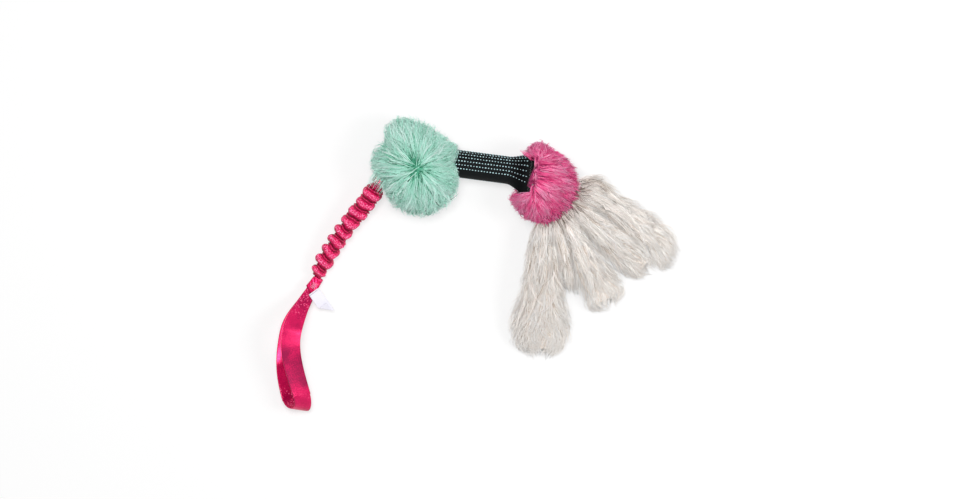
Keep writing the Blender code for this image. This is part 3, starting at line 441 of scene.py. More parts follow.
# Tree for pile: each guide line becomes a lock of tapered, frizzy fibres
def pileTree():
    tree = bpy.data.node_groups.new("pile_locks", "GeometryNodeTree")
    sockets = {}
    tree.interface.new_socket("Geometry", in_out="INPUT", socket_type="NodeSocketGeometry")
    for name, kind in (
        ("Fibres", "Int"), ("Root spread", "Float"), ("Tip spread", "Float"), ("Shortest", "Float"),
        ("Thickness", "Float"), ("Frizz", "Float"), ("Frizz scale", "Float"), ("Steps", "Int"), ("Seed", "Int"),
        ("Material", "Material"),
    ):
        sockets[name] = tree.interface.new_socket(name, in_out="INPUT", socket_type="NodeSocket" + kind).identifier
    tree.interface.new_socket("Geometry", in_out="OUTPUT", socket_type="NodeSocketGeometry")
    given = addNode(tree, "NodeGroupInput").outputs
    lines = addNode(tree, "GeometryNodeMeshToCurve", {"Mesh": given["Geometry"]})
    fibres = addNode(
        tree, "GeometryNodeDuplicateElements", {"Geometry": lines, "Amount": given["Fibres"]}, domain="SPLINE",
    )
    which = addNode(tree, "GeometryNodeCurveOfPoint").outputs["Curve Index"]
    along = addNode(tree, "GeometryNodeSplineParameter").outputs["Factor"]
    aside = addNode(
        tree, "FunctionNodeRandomValue", {0: (-1, -1, -1), 1: (1, 1, 1), "ID": which, "Seed": given["Seed"]},
        data_type="FLOAT_VECTOR",
    )
    spread = addNode(
        tree, "ShaderNodeMapRange", {"Value": along, "To Min": given["Root spread"], "To Max": given["Tip spread"]},
    )
    shift = addNode(tree, "ShaderNodeVectorMath", {0: aside, "Scale": spread}, operation="SCALE")
    place = addNode(tree, "GeometryNodeInputPosition").outputs[0]
    apart = addNode(
        tree, "ShaderNodeVectorMath", {0: aside, 1: (0.013, 0.013, 0.013), 2: place}, operation="MULTIPLY_ADD",
    )
    curl = addNode(tree, "ShaderNodeTexNoise", {"Vector": apart, "Scale": given["Frizz scale"], "Detail": 1.0})
    centred = addNode(
        tree, "ShaderNodeVectorMath", {0: curl.outputs["Color"], 1: (0.5, 0.5, 0.5)}, operation="SUBTRACT",
    )
    amount = addNode(tree, "ShaderNodeMath", {0: along, 1: given["Frizz"]}, operation="MULTIPLY")
    curled = addNode(tree, "ShaderNodeVectorMath", {0: centred, "Scale": amount}, operation="SCALE")
    moved = addNode(tree, "ShaderNodeVectorMath", {0: shift, 1: curled}, operation="ADD")
    bent = addNode(tree, "GeometryNodeSetPosition", {"Geometry": fibres, "Offset": moved})
    number = addNode(tree, "GeometryNodeInputIndex").outputs[0]
    length = addNode(
        tree, "FunctionNodeRandomValue", {2: given["Shortest"], 3: 1.0, "ID": number, "Seed": given["Seed"]},
        data_type="FLOAT",
    )
    cut = addNode(tree, "GeometryNodeTrimCurve", {0: bent, 3: length.outputs[1]}, mode="FACTOR")
    even = addNode(tree, "GeometryNodeResampleCurve", {"Curve": cut, "Count": given["Steps"]}, mode="COUNT")
    shade = addNode(tree, "FunctionNodeRandomValue", {2: 0.0, 3: 1.0, "ID": which, "Seed": 77}, data_type="FLOAT")
    marked = even
    for name, value in (("along", along), ("shade", shade.outputs[1])):  # for the fibre's colour
        marked = addNode(
            tree, "GeometryNodeStoreNamedAttribute", {"Geometry": marked, "Name": name, "Value": value},
            data_type="FLOAT", domain="POINT",
        )
    power = addNode(tree, "ShaderNodeMath", {0: along, 1: 2.5}, operation="POWER")
    taper = addNode(tree, "ShaderNodeMapRange", {"Value": power, "To Min": 1.0, "To Max": 0.12})
    radius = addNode(tree, "ShaderNodeMath", {0: taper, 1: given["Thickness"]}, operation="MULTIPLY")
    section = addNode(tree, "GeometryNodeCurvePrimitiveCircle", {"Resolution": 3, "Radius": 0.5}, mode="RADIUS")
    skin = addNode(
        tree, "GeometryNodeCurveToMesh",
        {"Curve": marked, "Profile Curve": section, "Scale": radius, "Fill Caps": True},
    )
    real = addNode(tree, "GeometryNodeRealizeInstances", {0: skin})
    dyed = addNode(tree, "GeometryNodeSetMaterial", {"Geometry": real, "Material": given["Material"]})
    addNode(tree, "NodeGroupOutput", {0: dyed})
    return tree, sockets


lockTree, lockSockets = pileTree()


def growLocks(name, guides, tones, **sizes):
    # guides: lock, point, xyz; each lock's fibres follow its guide line
    count, points = guides.shape[:2]
    mesh = bpy.data.meshes.new(name + "_guides")
    starts = np.arange(count * points).reshape(count, points)
    edges = np.stack([starts[:, :-1], starts[:, 1:]], axis=2).reshape(-1, 2)
    mesh.from_pydata(guides.reshape(-1, 3).tolist(), edges.tolist(), [])
    mesh.attributes.new("tone", "FLOAT", "POINT").data.foreach_set("value", np.repeat(tones, points).astype(np.float32))
    obj = bpy.data.objects.new(name + "_guides", mesh)
    bpy.context.scene.collection.objects.link(obj)
    grow = obj.modifiers.new("locks", "NODES")
    grow.node_group = lockTree
    for key, value in sizes.items():
        grow[lockSockets[key.replace("_", " ")]] = value
    made = toPlainMesh(obj, name)
    made.data.shade_smooth()
    verts = np.empty(len(made.data.vertices) * 3, np.float32)
    made.data.vertices.foreach_get("co", verts)
    verts[2::3] = np.maximum(verts[2::3], 0.0003)  # fibres lie on the floor
    made.data.vertices.foreach_set("co", verts)
    made.data.update()
    print(f"{name}: {len(made.data.polygons)} faces")
    return made


# Hand loop: one strap in a ring, its upper strand arched over the lower one
strap = {
    "width": 0.0208, "thickness": 0.0019, "cadThickness": 0.0022, "gap": 0.0003, "neckWidth": 0.010, "flare": 0.058,
    "startHeading": 238.0, "endHeading": 286.5, "reach": (-0.021, -0.124), "bow": 0.054,
    "rise": 0.033, "endRise": 0.0238, "endLift": 0.008, "roll": 20.0, "endRoll": 33.0, "bendReach": 0.013, "skew": 22.0,
    "lean": -0.0004, "endLean": 0.0052, "underLean": 0.0042, "underEnd": 0.0080,
    # in shares of its length
    "leanAt": 0.4, "topAt": 0.48, "lowFrom": 0.55, "lowAt": 0.98, "rollAt": 0.5, "downAt": 0.2, "liftAt": 0.72,
    "strandRows": 90, "bendRows": 40, "foldRows": 9,
}
foldPoint = jointPoint("loop_fold")
foldRadius = (strap["cadThickness"] + strap["gap"]) / 2
loopStart = Vector((foldPoint.x, foldPoint.y, 0.0))
loopEnd = loopStart + Vector((*strap["reach"], 0.0))
up = Vector((0, 0, 1))


def loopMiddle(t):
    return bezier(
        loopStart,
        loopStart + strap["bow"] * headingVector(strap["startHeading"]),
        loopEnd - strap["bow"] * headingVector(strap["endHeading"]),
        loopEnd,
        t,
    )


def loopAlong(t):
    return (loopMiddle(min(t + 0.01, 1.0)) - loopMiddle(max(t - 0.01, 0.0))).normalized()


loopLength = sum((loopMiddle((i + 1) / 40) - loopMiddle(i / 40)).length for i in range(40))


def strapHalfWidth(t):
    return mix(strap["neckWidth"], strap["width"], float(smooth(t * loopLength / strap["flare"]))) / 2


def upperPoint(t):
    lean = mix(strap["lean"] * ease(t, 0, strap["leanAt"]), strap["endLean"], ease(t, strap["leanAt"], 1))
    arch = mix(foldPoint.z + foldRadius, strap["rise"], ease(t, 0, strap["topAt"]))
    level = mix(arch, strap["endRise"], ease(t, strap["lowFrom"], strap["lowAt"]))
    return loopMiddle(t) + float(lean) * leftOf(loopAlong(t)) + float(level) * up


def lowerPoint(t):
    level = mix(foldPoint.z - foldRadius, strap["cadThickness"] / 2, ease(t, 0, strap["downAt"]))
    level = mix(level, strap["endLift"], ease(t, strap["liftAt"], 1))
    lean = strap["underLean"] * ease(t, 0.1, 0.5)
    lean = lean + (strap["underEnd"] - strap["underLean"]) * ease(t, strap["rollAt"], 1)
    return loopMiddle(t) - float(lean) * leftOf(loopAlong(t)) + float(level) * up


def strandRow(pointAt, t):  # centre, direction across and half width of the strap there
    roll = strap["roll"] * ease(t, 0, strap["rollAt"]) if pointAt is upperPoint else 0
    roll = mix(roll, strap["endRoll"], ease(t, 0.6, 1))
    along = (pointAt(min(t + 0.02, 1.0)) - pointAt(max(t - 0.02, 0.0))).normalized()
    side = along.cross(up).normalized()
    side = Matrix.Rotation(math.radians(-float(roll)), 3, along) @ side
    return pointAt(t), side, strapHalfWidth(t)


def loopRows():
    rows = []
    out = loopAlong(0.0)
    for i in range(strap["foldRows"]):
        angle = math.pi * (i + 0.5) / strap["foldRows"]
        at = foldPoint - foldRadius * (math.sin(angle) * out + math.cos(angle) * up)
        rows.append((at, out.cross(up), strap["neckWidth"] / 2))
    for i in range(strap["strandRows"] + 1):
        t = i / strap["strandRows"]
        rows.append(strandRow(upperPoint, t))
    top, bottom = upperPoint(1.0), lowerPoint(1.0)
    out = loopAlong(1.0)
    side = out.cross(top - bottom).normalized()
    for i in range(1, strap["bendRows"]):
        angle = math.pi * i / strap["bendRows"]
        at = (top + bottom) / 2 + (top - bottom) / 2 * math.cos(angle) + out * strap["bendReach"] * math.sin(angle)
        skew = math.radians(strap["skew"]) * math.sin(angle)  # its turn is folded a little on the slant
        rows.append((at, (math.cos(skew) * side - math.sin(skew) * out).normalized(), strap["width"] / 2))
    for i in range(strap["strandRows"] + 1):
        t = 1 - i / strap["strandRows"]
        rows.append(strandRow(lowerPoint, t))
    return rows


def strapSection(centre, side, normal, halfWidth, halfThick, points=30):
    # a flat section with round edges, and a thin bead along each selvedge
    ring = []
    for j in range(points):
        angle = 2 * math.pi * (j + 0.5) / points
        across = math.copysign(abs(math.cos(angle)) ** 0.55, math.cos(angle))
        bead = 1 + 0.22 * math.exp(-(((1 - abs(across)) / 0.1) ** 2))
        thick = math.copysign(abs(math.sin(angle)) ** 0.45, math.sin(angle)) * bead
        ring.append(centre + halfWidth * across * side + halfThick * thick * normal)
    return ring


def makeHandLoop():
    rows = loopRows()
    rings = []
    for i, (centre, side, halfWidth) in enumerate(rows):
        path = rows[(i + 1) % len(rows)][0] - rows[i - 1][0]
        normal = side.cross(path).normalized()
        rings.append(strapSection(centre, side, normal, halfWidth, strap["thickness"] / 2))
    return loft("hand_loop_webbing", rings, webbing, ringClosed=True)


handLoop = fit(makeHandLoop(), "loop", "pink_webbing", "hand_loop")
print("hand loop made")

# Bungee: a sleeve gathered on its elastic, its smaller last gather, and the flattened neck
bungee = {  # metres along it from its hinge at the yoke
    "start": 0.0083, "length": 0.084, "neckEnd": 0.1112,
    "rootStart": -0.0085, "rootDrawn": 0.0005, "rootRadius": 0.0042,
    "pitch": 0.0125, "first": -0.0017, "valley": 0.0062, "ridge": 0.0104, "flatness": 0.88, "lean": 0.0014,
    "cloth": 0.0006, "coreRadius": 0.0033,
    "bow": [
        (0, 0.0018), (0.02, 0.0006), (0.033, -0.0011), (0.045, -0.0028), (0.058, -0.0040), (0.072, -0.0050),
        (0.097, -0.0046), (0.105, -0.0038), (0.111, -0.0029),
    ],
    "twist": 0.13, "twistedFrom": (3.2, 4.8), "looseFrom": (2.6, 4.4),  # counted in gathers from the root
    "lipAt": 0.10, "lipWidth": 0.085, "fatAt": 0.58, "fatWidth": 0.385, "looseWidth": 0.36,  # in shares of a gather
    "lastGather": 0.84, "lastFrom": (0.0970, 0.1010), "flatFrom": (0.1065, 0.1108),
    "neckHalfWidth": 0.0050, "neckHalfThick": 0.0032, "neckRipple": 0.0004,
    "rows": 400, "rootRows": 90, "neckRows": 100, "coreRows": 24, "around": 96, "coreAround": 24,
}
liftPoint = jointPoint("bungee_lift")
swingPoint = jointPoint("bungee_swing")
bungeeX = Vector(joints["bungee_stretch"]["axis"]).normalized()
bungeeY = leftOf(Vector((bungeeX.x, bungeeX.y, 0)).normalized())
bungeeZ = bungeeX.cross(bungeeY)
bungeeEnd = bungee["start"] + bungee["length"]


def onBungee(x, y, z):
    place = np.array(liftPoint) + np.multiply.outer(x, bungeeX)
    return place + np.multiply.outer(y, bungeeY) + np.multiply.outer(z, bungeeZ)


def bungeeBow(x):  # its gentle curve, sideways, by the distance along it
    return np.interp(x, *zip(*bungee["bow"]))


def foldPhase(turn, angle):  # 0 to 1 along one gather; the lower ones twist a little, and none is quite like the next
    lean = bungee["lean"] / bungee["pitch"] * (1 + 0.4 * np.sin(1.7 * turn + 0.6)) * np.sin(angle)
    twist = bungee["twist"] * ease(turn, *bungee["twistedFrom"]) * np.sin(2 * angle + 0.4 * np.sin(2.6 * turn))
    wander = 0.03 * np.sin(3 * angle - 2.3 * turn + 1) + 0.02 * np.sin(5 * angle + 3.1 * turn)
    return (turn - lean - twist - wander) % 1


def sleeveSkin(x, angle):  # distance from the middle, and how lit the cloth is there
    turn = (x - bungee["first"]) / bungee["pitch"]
    loose = ease(turn, *bungee["looseFrom"]) * np.cos(angle) ** 2  # the lower gathers stand apart at their sides
    phase = foldPhase(turn, angle)
    lip = (0.86 - 0.75 * loose) * np.sqrt(np.maximum(0, 1 - ((phase - bungee["lipAt"]) / bungee["lipWidth"]) ** 2))
    fatWidth = mix(bungee["fatWidth"], bungee["looseWidth"], loose)
    fat = np.sqrt(np.maximum(0, 1 - np.abs((phase - bungee["fatAt"]) / fatWidth) ** mix(2.6, 2.0, loose)))
    between = (phase > bungee["lipAt"]) & (phase < 0.5)
    fold = np.maximum(np.maximum(lip, fat), np.where(between, 0.3 * (1 - loose), 0.0))
    bulge = 0.95 + 0.05 * np.sin(2.7 * turn + 0.5) + 0.04 * np.sin(angle + 1.3 * turn)
    valley = bungee["valley"] - 0.0012 * loose + 0.0014 * np.sin(angle) ** 4  # shallower on top than at the sides
    creases = 0.0003 * np.sin(9 * angle + 4 * np.sin(2.2 * turn)) + 0.0002 * np.sin(17 * angle - 5 * turn)
    radius = mix(valley, bungee["ridge"], fold * bulge) + creases * fold
    return radius, np.clip(fold, 0, 1) * (1 - 0.55 * ease(phase, 0.66, 0.92))


def gatherCloth(name, first, last, rows, shape, lined=False):  # shape narrows a radius at a distance along the bungee
    x, angle = np.meshgrid(
        np.linspace(first, last, rows), np.linspace(0, 2 * np.pi, bungee["around"], endpoint=False), indexing="ij",
    )
    radius, tones = sleeveSkin(x, angle)
    across, over = shape(x, angle, radius)
    rings = onBungee(x, across + bungeeBow(x), over)
    if lined:  # back along the inside
        inside = 1 - bungee["cloth"] / radius
        rings = np.concatenate([rings, onBungee(x, across * inside + bungeeBow(x), over * inside)[::-1]])
        tones = np.concatenate([tones, tones[::-1]])
    return markFolds(loft(name, rings, sleeveWebbing, ringClosed=lined), tones)


def roundSection(x, angle, radius):
    return radius * np.cos(angle), radius * np.sin(angle) * bungee["flatness"]


def rootSection(x, angle, radius):  # drawn in towards the yoke
    return roundSection(x, angle, mix(bungee["rootRadius"], radius, ease(x, bungee["rootStart"], bungee["rootDrawn"])))


def neckSection(x, angle, radius):  # the last gather is smaller, and runs out into a flat neck
    flat = ease(x, *bungee["flatFrom"])
    across, over = roundSection(x, angle, radius * mix(1.0, bungee["lastGather"], ease(x, *bungee["lastFrom"])))
    flatAcross = bungee["neckHalfWidth"] * np.copysign(np.abs(np.cos(angle)) ** 0.8, np.cos(angle))
    flatOver = (bungee["neckHalfThick"] + bungee["neckRipple"] * np.sin(1900 * x + 3 * np.cos(angle))) * np.sin(angle)
    return mix(across, flatAcross, flat), mix(over, flatOver, flat)


def makeCore():
    angle = np.linspace(0, 2 * np.pi, bungee["coreAround"], endpoint=False)
    rings = []
    for x in np.linspace(bungee["start"], bungeeEnd, bungee["coreRows"]):
        side, rise = bungee["coreRadius"] * np.cos(angle) + bungeeBow(x), bungee["coreRadius"] * np.sin(angle)
        rings.append(onBungee(np.full(len(angle), x), side, rise))
    return loft("elastic_cord", rings, rubberCord)


sleeve = gatherCloth("gathered_sleeve", bungee["start"], bungeeEnd, bungee["rows"], roundSection, lined=True)
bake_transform(sleeve)
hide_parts("bungee_sleeve")
core = makeCore()
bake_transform(core)
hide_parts("bungee_core")
cuff = gatherCloth("sleeve_root", bungee["rootStart"], bungee["start"], bungee["rootRows"], rootSection)
fit(cuff, "bungee", "pink_webbing", "root_cuff")
neck = gatherCloth("neck_webbing", bungeeEnd, bungee["neckEnd"], bungee["neckRows"], neckSection)
fit(neck, "neck", "pink_webbing", "end_cuff", "neck_tab")


def strapPiece(name, points, width, thickness, body, node):  # a flat strap through points, upright
    points = [Vector(p) for p in points]
    rings = []
    for i, point in enumerate(points):
        along = (points[min(i + 1, len(points) - 1)] - points[max(i - 1, 0)]).normalized()
        side = along.cross(up).normalized()
        rings.append(strapSection(point, side, side.cross(along), width / 2, thickness / 2))
    fit(loft(name, rings, webbing), body, "pink_webbing", node)


yoke = {"along": (-0.0055, -0.0035, 0, 0.0015, 0.0026), "width": 0.0118, "thickness": 0.0085}
yokeWay = (liftPoint - swingPoint).normalized()
yokePoints = [swingPoint + yokeWay * d for d in yoke["along"]]
strapPiece("soft_yoke", yokePoints, yoke["width"], yoke["thickness"], "yoke", "yoke")
print("bungee made")


# Bite tube: black woven tube, sewn flat at both ends, with rows of small pale dashes
bite = {
    "end": (0.0586, 0.0937), "level": 0.026, "heading": -7.5, "length": 0.105,
    "round": 0.0144, "flatWidth": 0.0206, "flatHeight": 0.0032, "seam": 0.006, "flare": 0.021, "bow": 0.0024,
    "rows": 150, "around": 96, "fillingGap": 0.0024, "fillingSetIn": 0.015,
    "dashes": 31, "dashLength": 0.0016, "dashWidth": 0.0012, "dashHeight": 0.0006, "dashSetIn": 0.0045,
    "dashRows": [110.7 - 16.2 * i for i in range(10)] + [186 + 16.2 * i for i in range(7)],  # degrees round the tube
    "seamPoints": 25, "seamInset": 0.0029, "seamZigzag": 0.001, "threadWidth": 0.0009,
}
biteAlong = headingVector(bite["heading"])
biteAcross = leftOf(biteAlong)
biteStart = Vector((*bite["end"], bite["level"])) - bite["length"] * biteAlong


def biteShape(along):
    share = ease(np.minimum(along, bite["length"] - along), bite["seam"], bite["seam"] + bite["flare"])
    width, height = mix(bite["flatWidth"], bite["round"], share), mix(bite["flatHeight"], bite["round"], share)
    return width, height, bite["bow"] * share


def onBite(along, angle, grow=0.0):
    width, height, bow = biteShape(along)
    pucker = 1 + 0.018 * np.sin(5 * angle + 300 * along) * ease(
        bite["flare"] * 1.6 - np.minimum(along, bite["length"] - along), 0, 0.03,
    )
    side = bow + (width * pucker + grow) * np.cos(angle)
    rise = (height * pucker + grow) * np.sin(angle)
    place = np.array(biteStart) + np.multiply.outer(along, biteAlong)
    return place + np.multiply.outer(side, biteAcross) + np.multiply.outer(rise, up)


def makeBite(name, grow, setIn, material):
    along = np.linspace(setIn, bite["length"] - setIn, bite["rows"])
    angle = np.linspace(0, 2 * np.pi, bite["around"], endpoint=False)
    rings = [onBite(np.full(len(angle), a), angle, grow) for a in along]
    return loft(name, rings, material)


biteCover = fit(makeBite("bite_tube_cover", 0.0, 0.0, blackWeave), "bite", "black_weave", "bite_cover")
filling = makeBite("bite_tube_filling", -bite["fillingGap"], bite["fillingSetIn"], stuffing)
fit(filling, "bite", "filling", "bite_filling")


def stitchTree():
    # small rounded stitches, each lying along "lie" and facing "out"
    tree = bpy.data.node_groups.new("laid_stitches", "GeometryNodeTree")
    sockets = {}
    tree.interface.new_socket("Geometry", in_out="INPUT", socket_type="NodeSocketGeometry")
    for name, kind in (
        ("Length", "Float"), ("Width", "Float"), ("Height", "Float"), ("Seed", "Int"), ("Material", "Material"),
    ):
        sockets[name] = tree.interface.new_socket(name, in_out="INPUT", socket_type="NodeSocket" + kind).identifier
    tree.interface.new_socket("Geometry", in_out="OUTPUT", socket_type="NodeSocketGeometry")
    given = addNode(tree, "NodeGroupInput").outputs
    bead = addNode(tree, "GeometryNodeMeshUVSphere", {"Segments": 6, "Rings": 4, "Radius": 0.5})
    lie = addNode(tree, "GeometryNodeInputNamedAttribute", {"Name": "lie"}, data_type="FLOAT_VECTOR")
    out = addNode(tree, "GeometryNodeInputNamedAttribute", {"Name": "out"}, data_type="FLOAT_VECTOR")
    turn = addNode(tree, "FunctionNodeAxesToRotation", {0: out, 1: lie}, primary_axis="Z", secondary_axis="X")
    size = addNode(tree, "ShaderNodeCombineXYZ", {0: given["Length"], 1: given["Width"], 2: given["Height"]})
    chance = addNode(tree, "FunctionNodeRandomValue", {2: 0.8, 3: 1.15, "Seed": given["Seed"]}, data_type="FLOAT")
    sized = addNode(tree, "ShaderNodeVectorMath", {0: size, "Scale": chance.outputs[1]}, operation="SCALE")
    placed = addNode(
        tree, "GeometryNodeInstanceOnPoints",
        {"Points": given["Geometry"], "Instance": bead, "Rotation": turn, "Scale": sized},
    )
    real = addNode(tree, "GeometryNodeRealizeInstances", {0: placed})
    dyed = addNode(tree, "GeometryNodeSetMaterial", {"Geometry": real, "Material": given["Material"]})
    addNode(tree, "NodeGroupOutput", {0: dyed})
    return tree, sockets


stitches, stitchSockets = stitchTree()


def layStitches(name, points, lies, outs, **sizes):
    mesh = bpy.data.meshes.new(name + "_points")
    mesh.from_pydata(np.asarray(points).tolist(), [], [])
    for attribute, vectors in (("lie", lies), ("out", outs)):
        data = mesh.attributes.new(attribute, "FLOAT_VECTOR", "POINT").data
        data.foreach_set("vector", np.asarray(vectors, np.float32).ravel())
    obj = bpy.data.objects.new(name + "_points", mesh)
    bpy.context.scene.collection.objects.link(obj)
    lay = obj.modifiers.new("stitches", "NODES")
    lay.node_group = stitches
    for key, value in sizes.items():
        lay[stitchSockets[key]] = value
    made = toPlainMesh(obj, name)
    made.data.shade_smooth()
    return made


def biteDashes():
    points, lies, outs = [], [], []
    proud = 0.0001
    for row, degrees in enumerate(bite["dashRows"]):
        angle = math.radians(degrees)
        for i in range(bite["dashes"]):
            share = (i + 0.25 * (row % 2)) / bite["dashes"]  # every other row starts a quarter of a dash later
            along = mix(bite["dashSetIn"], bite["length"] - bite["dashSetIn"], share)
            here = onBite(along, angle, proud)
            lie = onBite(along + 0.0005, angle, proud) - here
            out = np.cross(lie, onBite(along, angle + 0.02, proud) - here)
            points.append(here)
            lies.append(lie / np.linalg.norm(lie))
            outs.append(-out / np.linalg.norm(out))
    return layStitches(
        "bite_tube_dashes", points, lies, outs, Length=bite["dashLength"], Width=bite["dashWidth"],
        Height=bite["dashHeight"], Seed=3, Material=paleThread,
    )


fit(biteDashes(), "bite", "black_thread")


def threadRow(name, points, outs, node, body, material, width, height, slot):  # stitches between the points of a zigzag
    points = np.array([tuple(p) for p in points])
    lies = points[1:] - points[:-1]
    lengths = np.linalg.norm(lies, axis=1)
    overlap = 1.06
    made = layStitches(
        name, (points[1:] + points[:-1]) / 2, lies / lengths[:, None], [tuple(outs)] * len(lies),
        Length=float(lengths.mean()) * overlap, Width=width, Height=height, Seed=5, Material=material,
    )
    fit(made, body, slot, node)


def biteSeam(name, node, centre):
    reach = bite["flatWidth"] - bite["seamInset"]
    points = []
    for i in range(bite["seamPoints"]):
        side = mix(-reach, reach, i / (bite["seamPoints"] - 1))
        level = bite["flatHeight"] * math.sqrt(1 - (side / bite["flatWidth"]) ** 2) + 0.0006
        zigzag = bite["seamZigzag"] if i % 2 else -bite["seamZigzag"]
        points.append(biteStart + (centre + zigzag) * biteAlong + side * biteAcross + level * up)
    threadRow(name, points, up, node, "bite", blackThread, bite["threadWidth"], bite["threadWidth"], "black_thread")


biteSeam("bite_end_stitches_left", "bite_seam_left", bite["seam"] / 2)
biteSeam("bite_end_stitches_right", "bite_seam_right", bite["length"] - bite["seam"] / 2)
print("bite tube made")


# Straps inside: the spine through the bite tube and the link to the bungee
spine = {"before": 0.022, "past": 0.020, "width": 0.020, "thickness": 0.0019, "steps": 20}
link = {
    "heading": 214.0, "lower": 0.0033, "start": 0.003, "end": 0.0063, "bow": 0.016,
    "width": 0.012, "thickness": 0.004, "steps": 16,
}
spineFrom = biteStart - spine["before"] * biteAlong
spineTo = biteStart + (bite["length"] + spine["past"]) * biteAlong
spinePoints = [spineFrom.lerp(spineTo, i / spine["steps"]) for i in range(spine["steps"] + 1)]
strapPiece("spine_webbing", spinePoints, spine["width"], spine["thickness"], "bite", "spine_strap")
linkLevel = bite["level"] - link["lower"]
linkHeading = headingVector(link["heading"])
linkStart = biteStart - link["start"] * biteAlong
linkStart.z = 0
linkEnd = Vector((swingPoint.x, swingPoint.y, 0)) - link["end"] * linkHeading
linkFrom, linkTo = linkStart - link["bow"] * biteAlong, linkEnd - link["bow"] * linkHeading
linkPoints = [
    bezier(linkStart, linkFrom, linkTo, linkEnd, i / link["steps"]) + linkLevel * up
    for i in range(link["steps"] + 1)
]
strapPiece("link_webbing", linkPoints, link["width"], link["thickness"], "bite", "link_strap")

# Tacks: short zigzags of pink thread
tack = {
    "points": 9, "width": 0.0009, "height": 0.0008, "linkPitch": 0.0016, "linkHalf": 0.004,
    "neckHalf": 0.0026, "neckFrom": (0.1035, 0.1095), "loopHalf": 0.0032, "loopFrom": (0.03, 0.075),
}
tackSides = [1 if i % 2 else -1 for i in range(tack["points"])]
linkTack = [
    biteStart - (0.018 - i * tack["linkPitch"]) * biteAlong + tack["linkHalf"] * turn * biteAcross + 0.0018 * up
    for i, turn in enumerate(tackSides)
]
threadRow(
    "link_tack_stitches", linkTack, up, "link_tack", "bite", pinkThread, tack["width"], tack["width"], "pink_thread",
)
neckAlong = np.linspace(*tack["neckFrom"], tack["points"])
neckTack = [
    Vector(onBungee(x, bungeeBow(x) + tack["neckHalf"] * turn, bungee["neckHalfThick"] - 0.0001))
    for x, turn in zip(neckAlong, tackSides)
]
threadRow(
    "neck_tack_stitches", neckTack, bungeeZ, "neck_tack", "neck", pinkThread, tack["width"], tack["height"],
    "pink_thread",
)
loopTack = []
for i, turn in enumerate(tackSides):
    at, side = strandRow(upperPoint, mix(*tack["loopFrom"], i / (tack["points"] - 1)))[:2]
    loopTack.append(at + tack["loopHalf"] * turn * side + 0.0025 * up)
threadRow(
    "loop_tack_stitches", loopTack, up, "loop_tack", "loop", pinkThread, tack["width"], tack["height"], "pink_thread",
)


# Blank tag: a ribbon folded in two, with one corner turned up
tag = {
    "length": 0.0265, "width": 0.0126, "ply": 0.0002, "bend": 0.00022, "heading": -54.5, "droop": 4.0,
    "cornerAt": 0.78, "cornerIn": 0.0045, "cornerLift": 0.0007, "ripple": 0.0005, "rows": 44, "columns": 22,
    "footAt": 0.085, "footSide": 0.0026, "footUp": 0.0012, "footWidth": 0.009,
}
tagRoot = jointPoint("label_flap")
tagHeading = headingVector(tag["heading"])
tagTurn = math.radians(tag["droop"])


def tagPoint(x, y, z):  # from the tag's own frame; one corner is turned up
    cornerX, cornerY = 0.72, 0.70  # towards the corner that turns
    past = (x - tag["cornerAt"] * tag["length"]) * cornerX - (y + tag["width"] / 2 - tag["cornerIn"]) * cornerY
    if past > 0:
        x, y, z = x - 1.9 * past * cornerX, y + 1.9 * past * cornerY, z + tag["cornerLift"] + 0.15 * past
    z += tag["ripple"] * math.sin(x * 230) * x / tag["length"]
    return tagRoot + x * (tagHeading * math.cos(tagTurn) - up * math.sin(tagTurn)) + y * leftOf(tagHeading) + z * up


def makeTag():
    rows, columns, bend, length = tag["rows"], tag["columns"], tag["bend"], tag["length"]
    way = [(length * i / rows, bend, 0.0, 1.0) for i in range(rows)]  # along, up, and the way that its skin faces
    way += [
        (length + bend * math.sin(a), bend * math.cos(a), math.sin(a), math.cos(a))
        for a in np.linspace(0, math.pi, 7)
    ]
    way += [(length * i / rows, -bend, 0.0, -1.0) for i in range(rows - 1, -1, -1)]
    sides = np.empty((2, len(way), columns + 1, 3))
    for k, half in enumerate((tag["ply"] / 2, -tag["ply"] / 2)):
        for i, (x, z, outX, outZ) in enumerate(way):
            for j in range(columns + 1):
                sides[k, i, j] = tagPoint(x + half * outX, tag["width"] * (j / columns - 0.5), z + half * outZ)
    return thinSheet("blank_tag", sides, labelCloth)


label = fit(makeTag(), "label", "label_cloth", "label")


def makeTagRoot():  # the tag's sewn ends, brought down to the strap
    foot = upperPoint(tag["footAt"]) + tag["footSide"] * leftOf(loopAlong(tag["footAt"])) + tag["footUp"] * up
    rings = []
    for t in np.linspace(0, 1, 9).tolist():
        at = bezier(foot, foot + 0.003 * tagHeading, tagRoot - 0.004 * tagHeading, tagRoot - 0.0002 * tagHeading, t)
        halfWidth = mix(tag["footWidth"] / 2, tag["width"] / 2, t)
        rings.append(strapSection(at, leftOf(tagHeading), up, halfWidth, 0.0003))
    return loft("tag_sewn_end", rings, labelCloth)


fit(makeTagRoot(), "loop", "label_cloth")

flap = {
    "reach": 0.105, "slant": 0.26, "neckHalf": 0.0046, "cutHalf": 0.0062, "aside": 0.001, "level": 0.0016,
    "halfThick": 0.00045, "ripple": 0.0003, "crown": 0.0003, "rows": 24, "columns": 16, "shadowRows": 3,
}


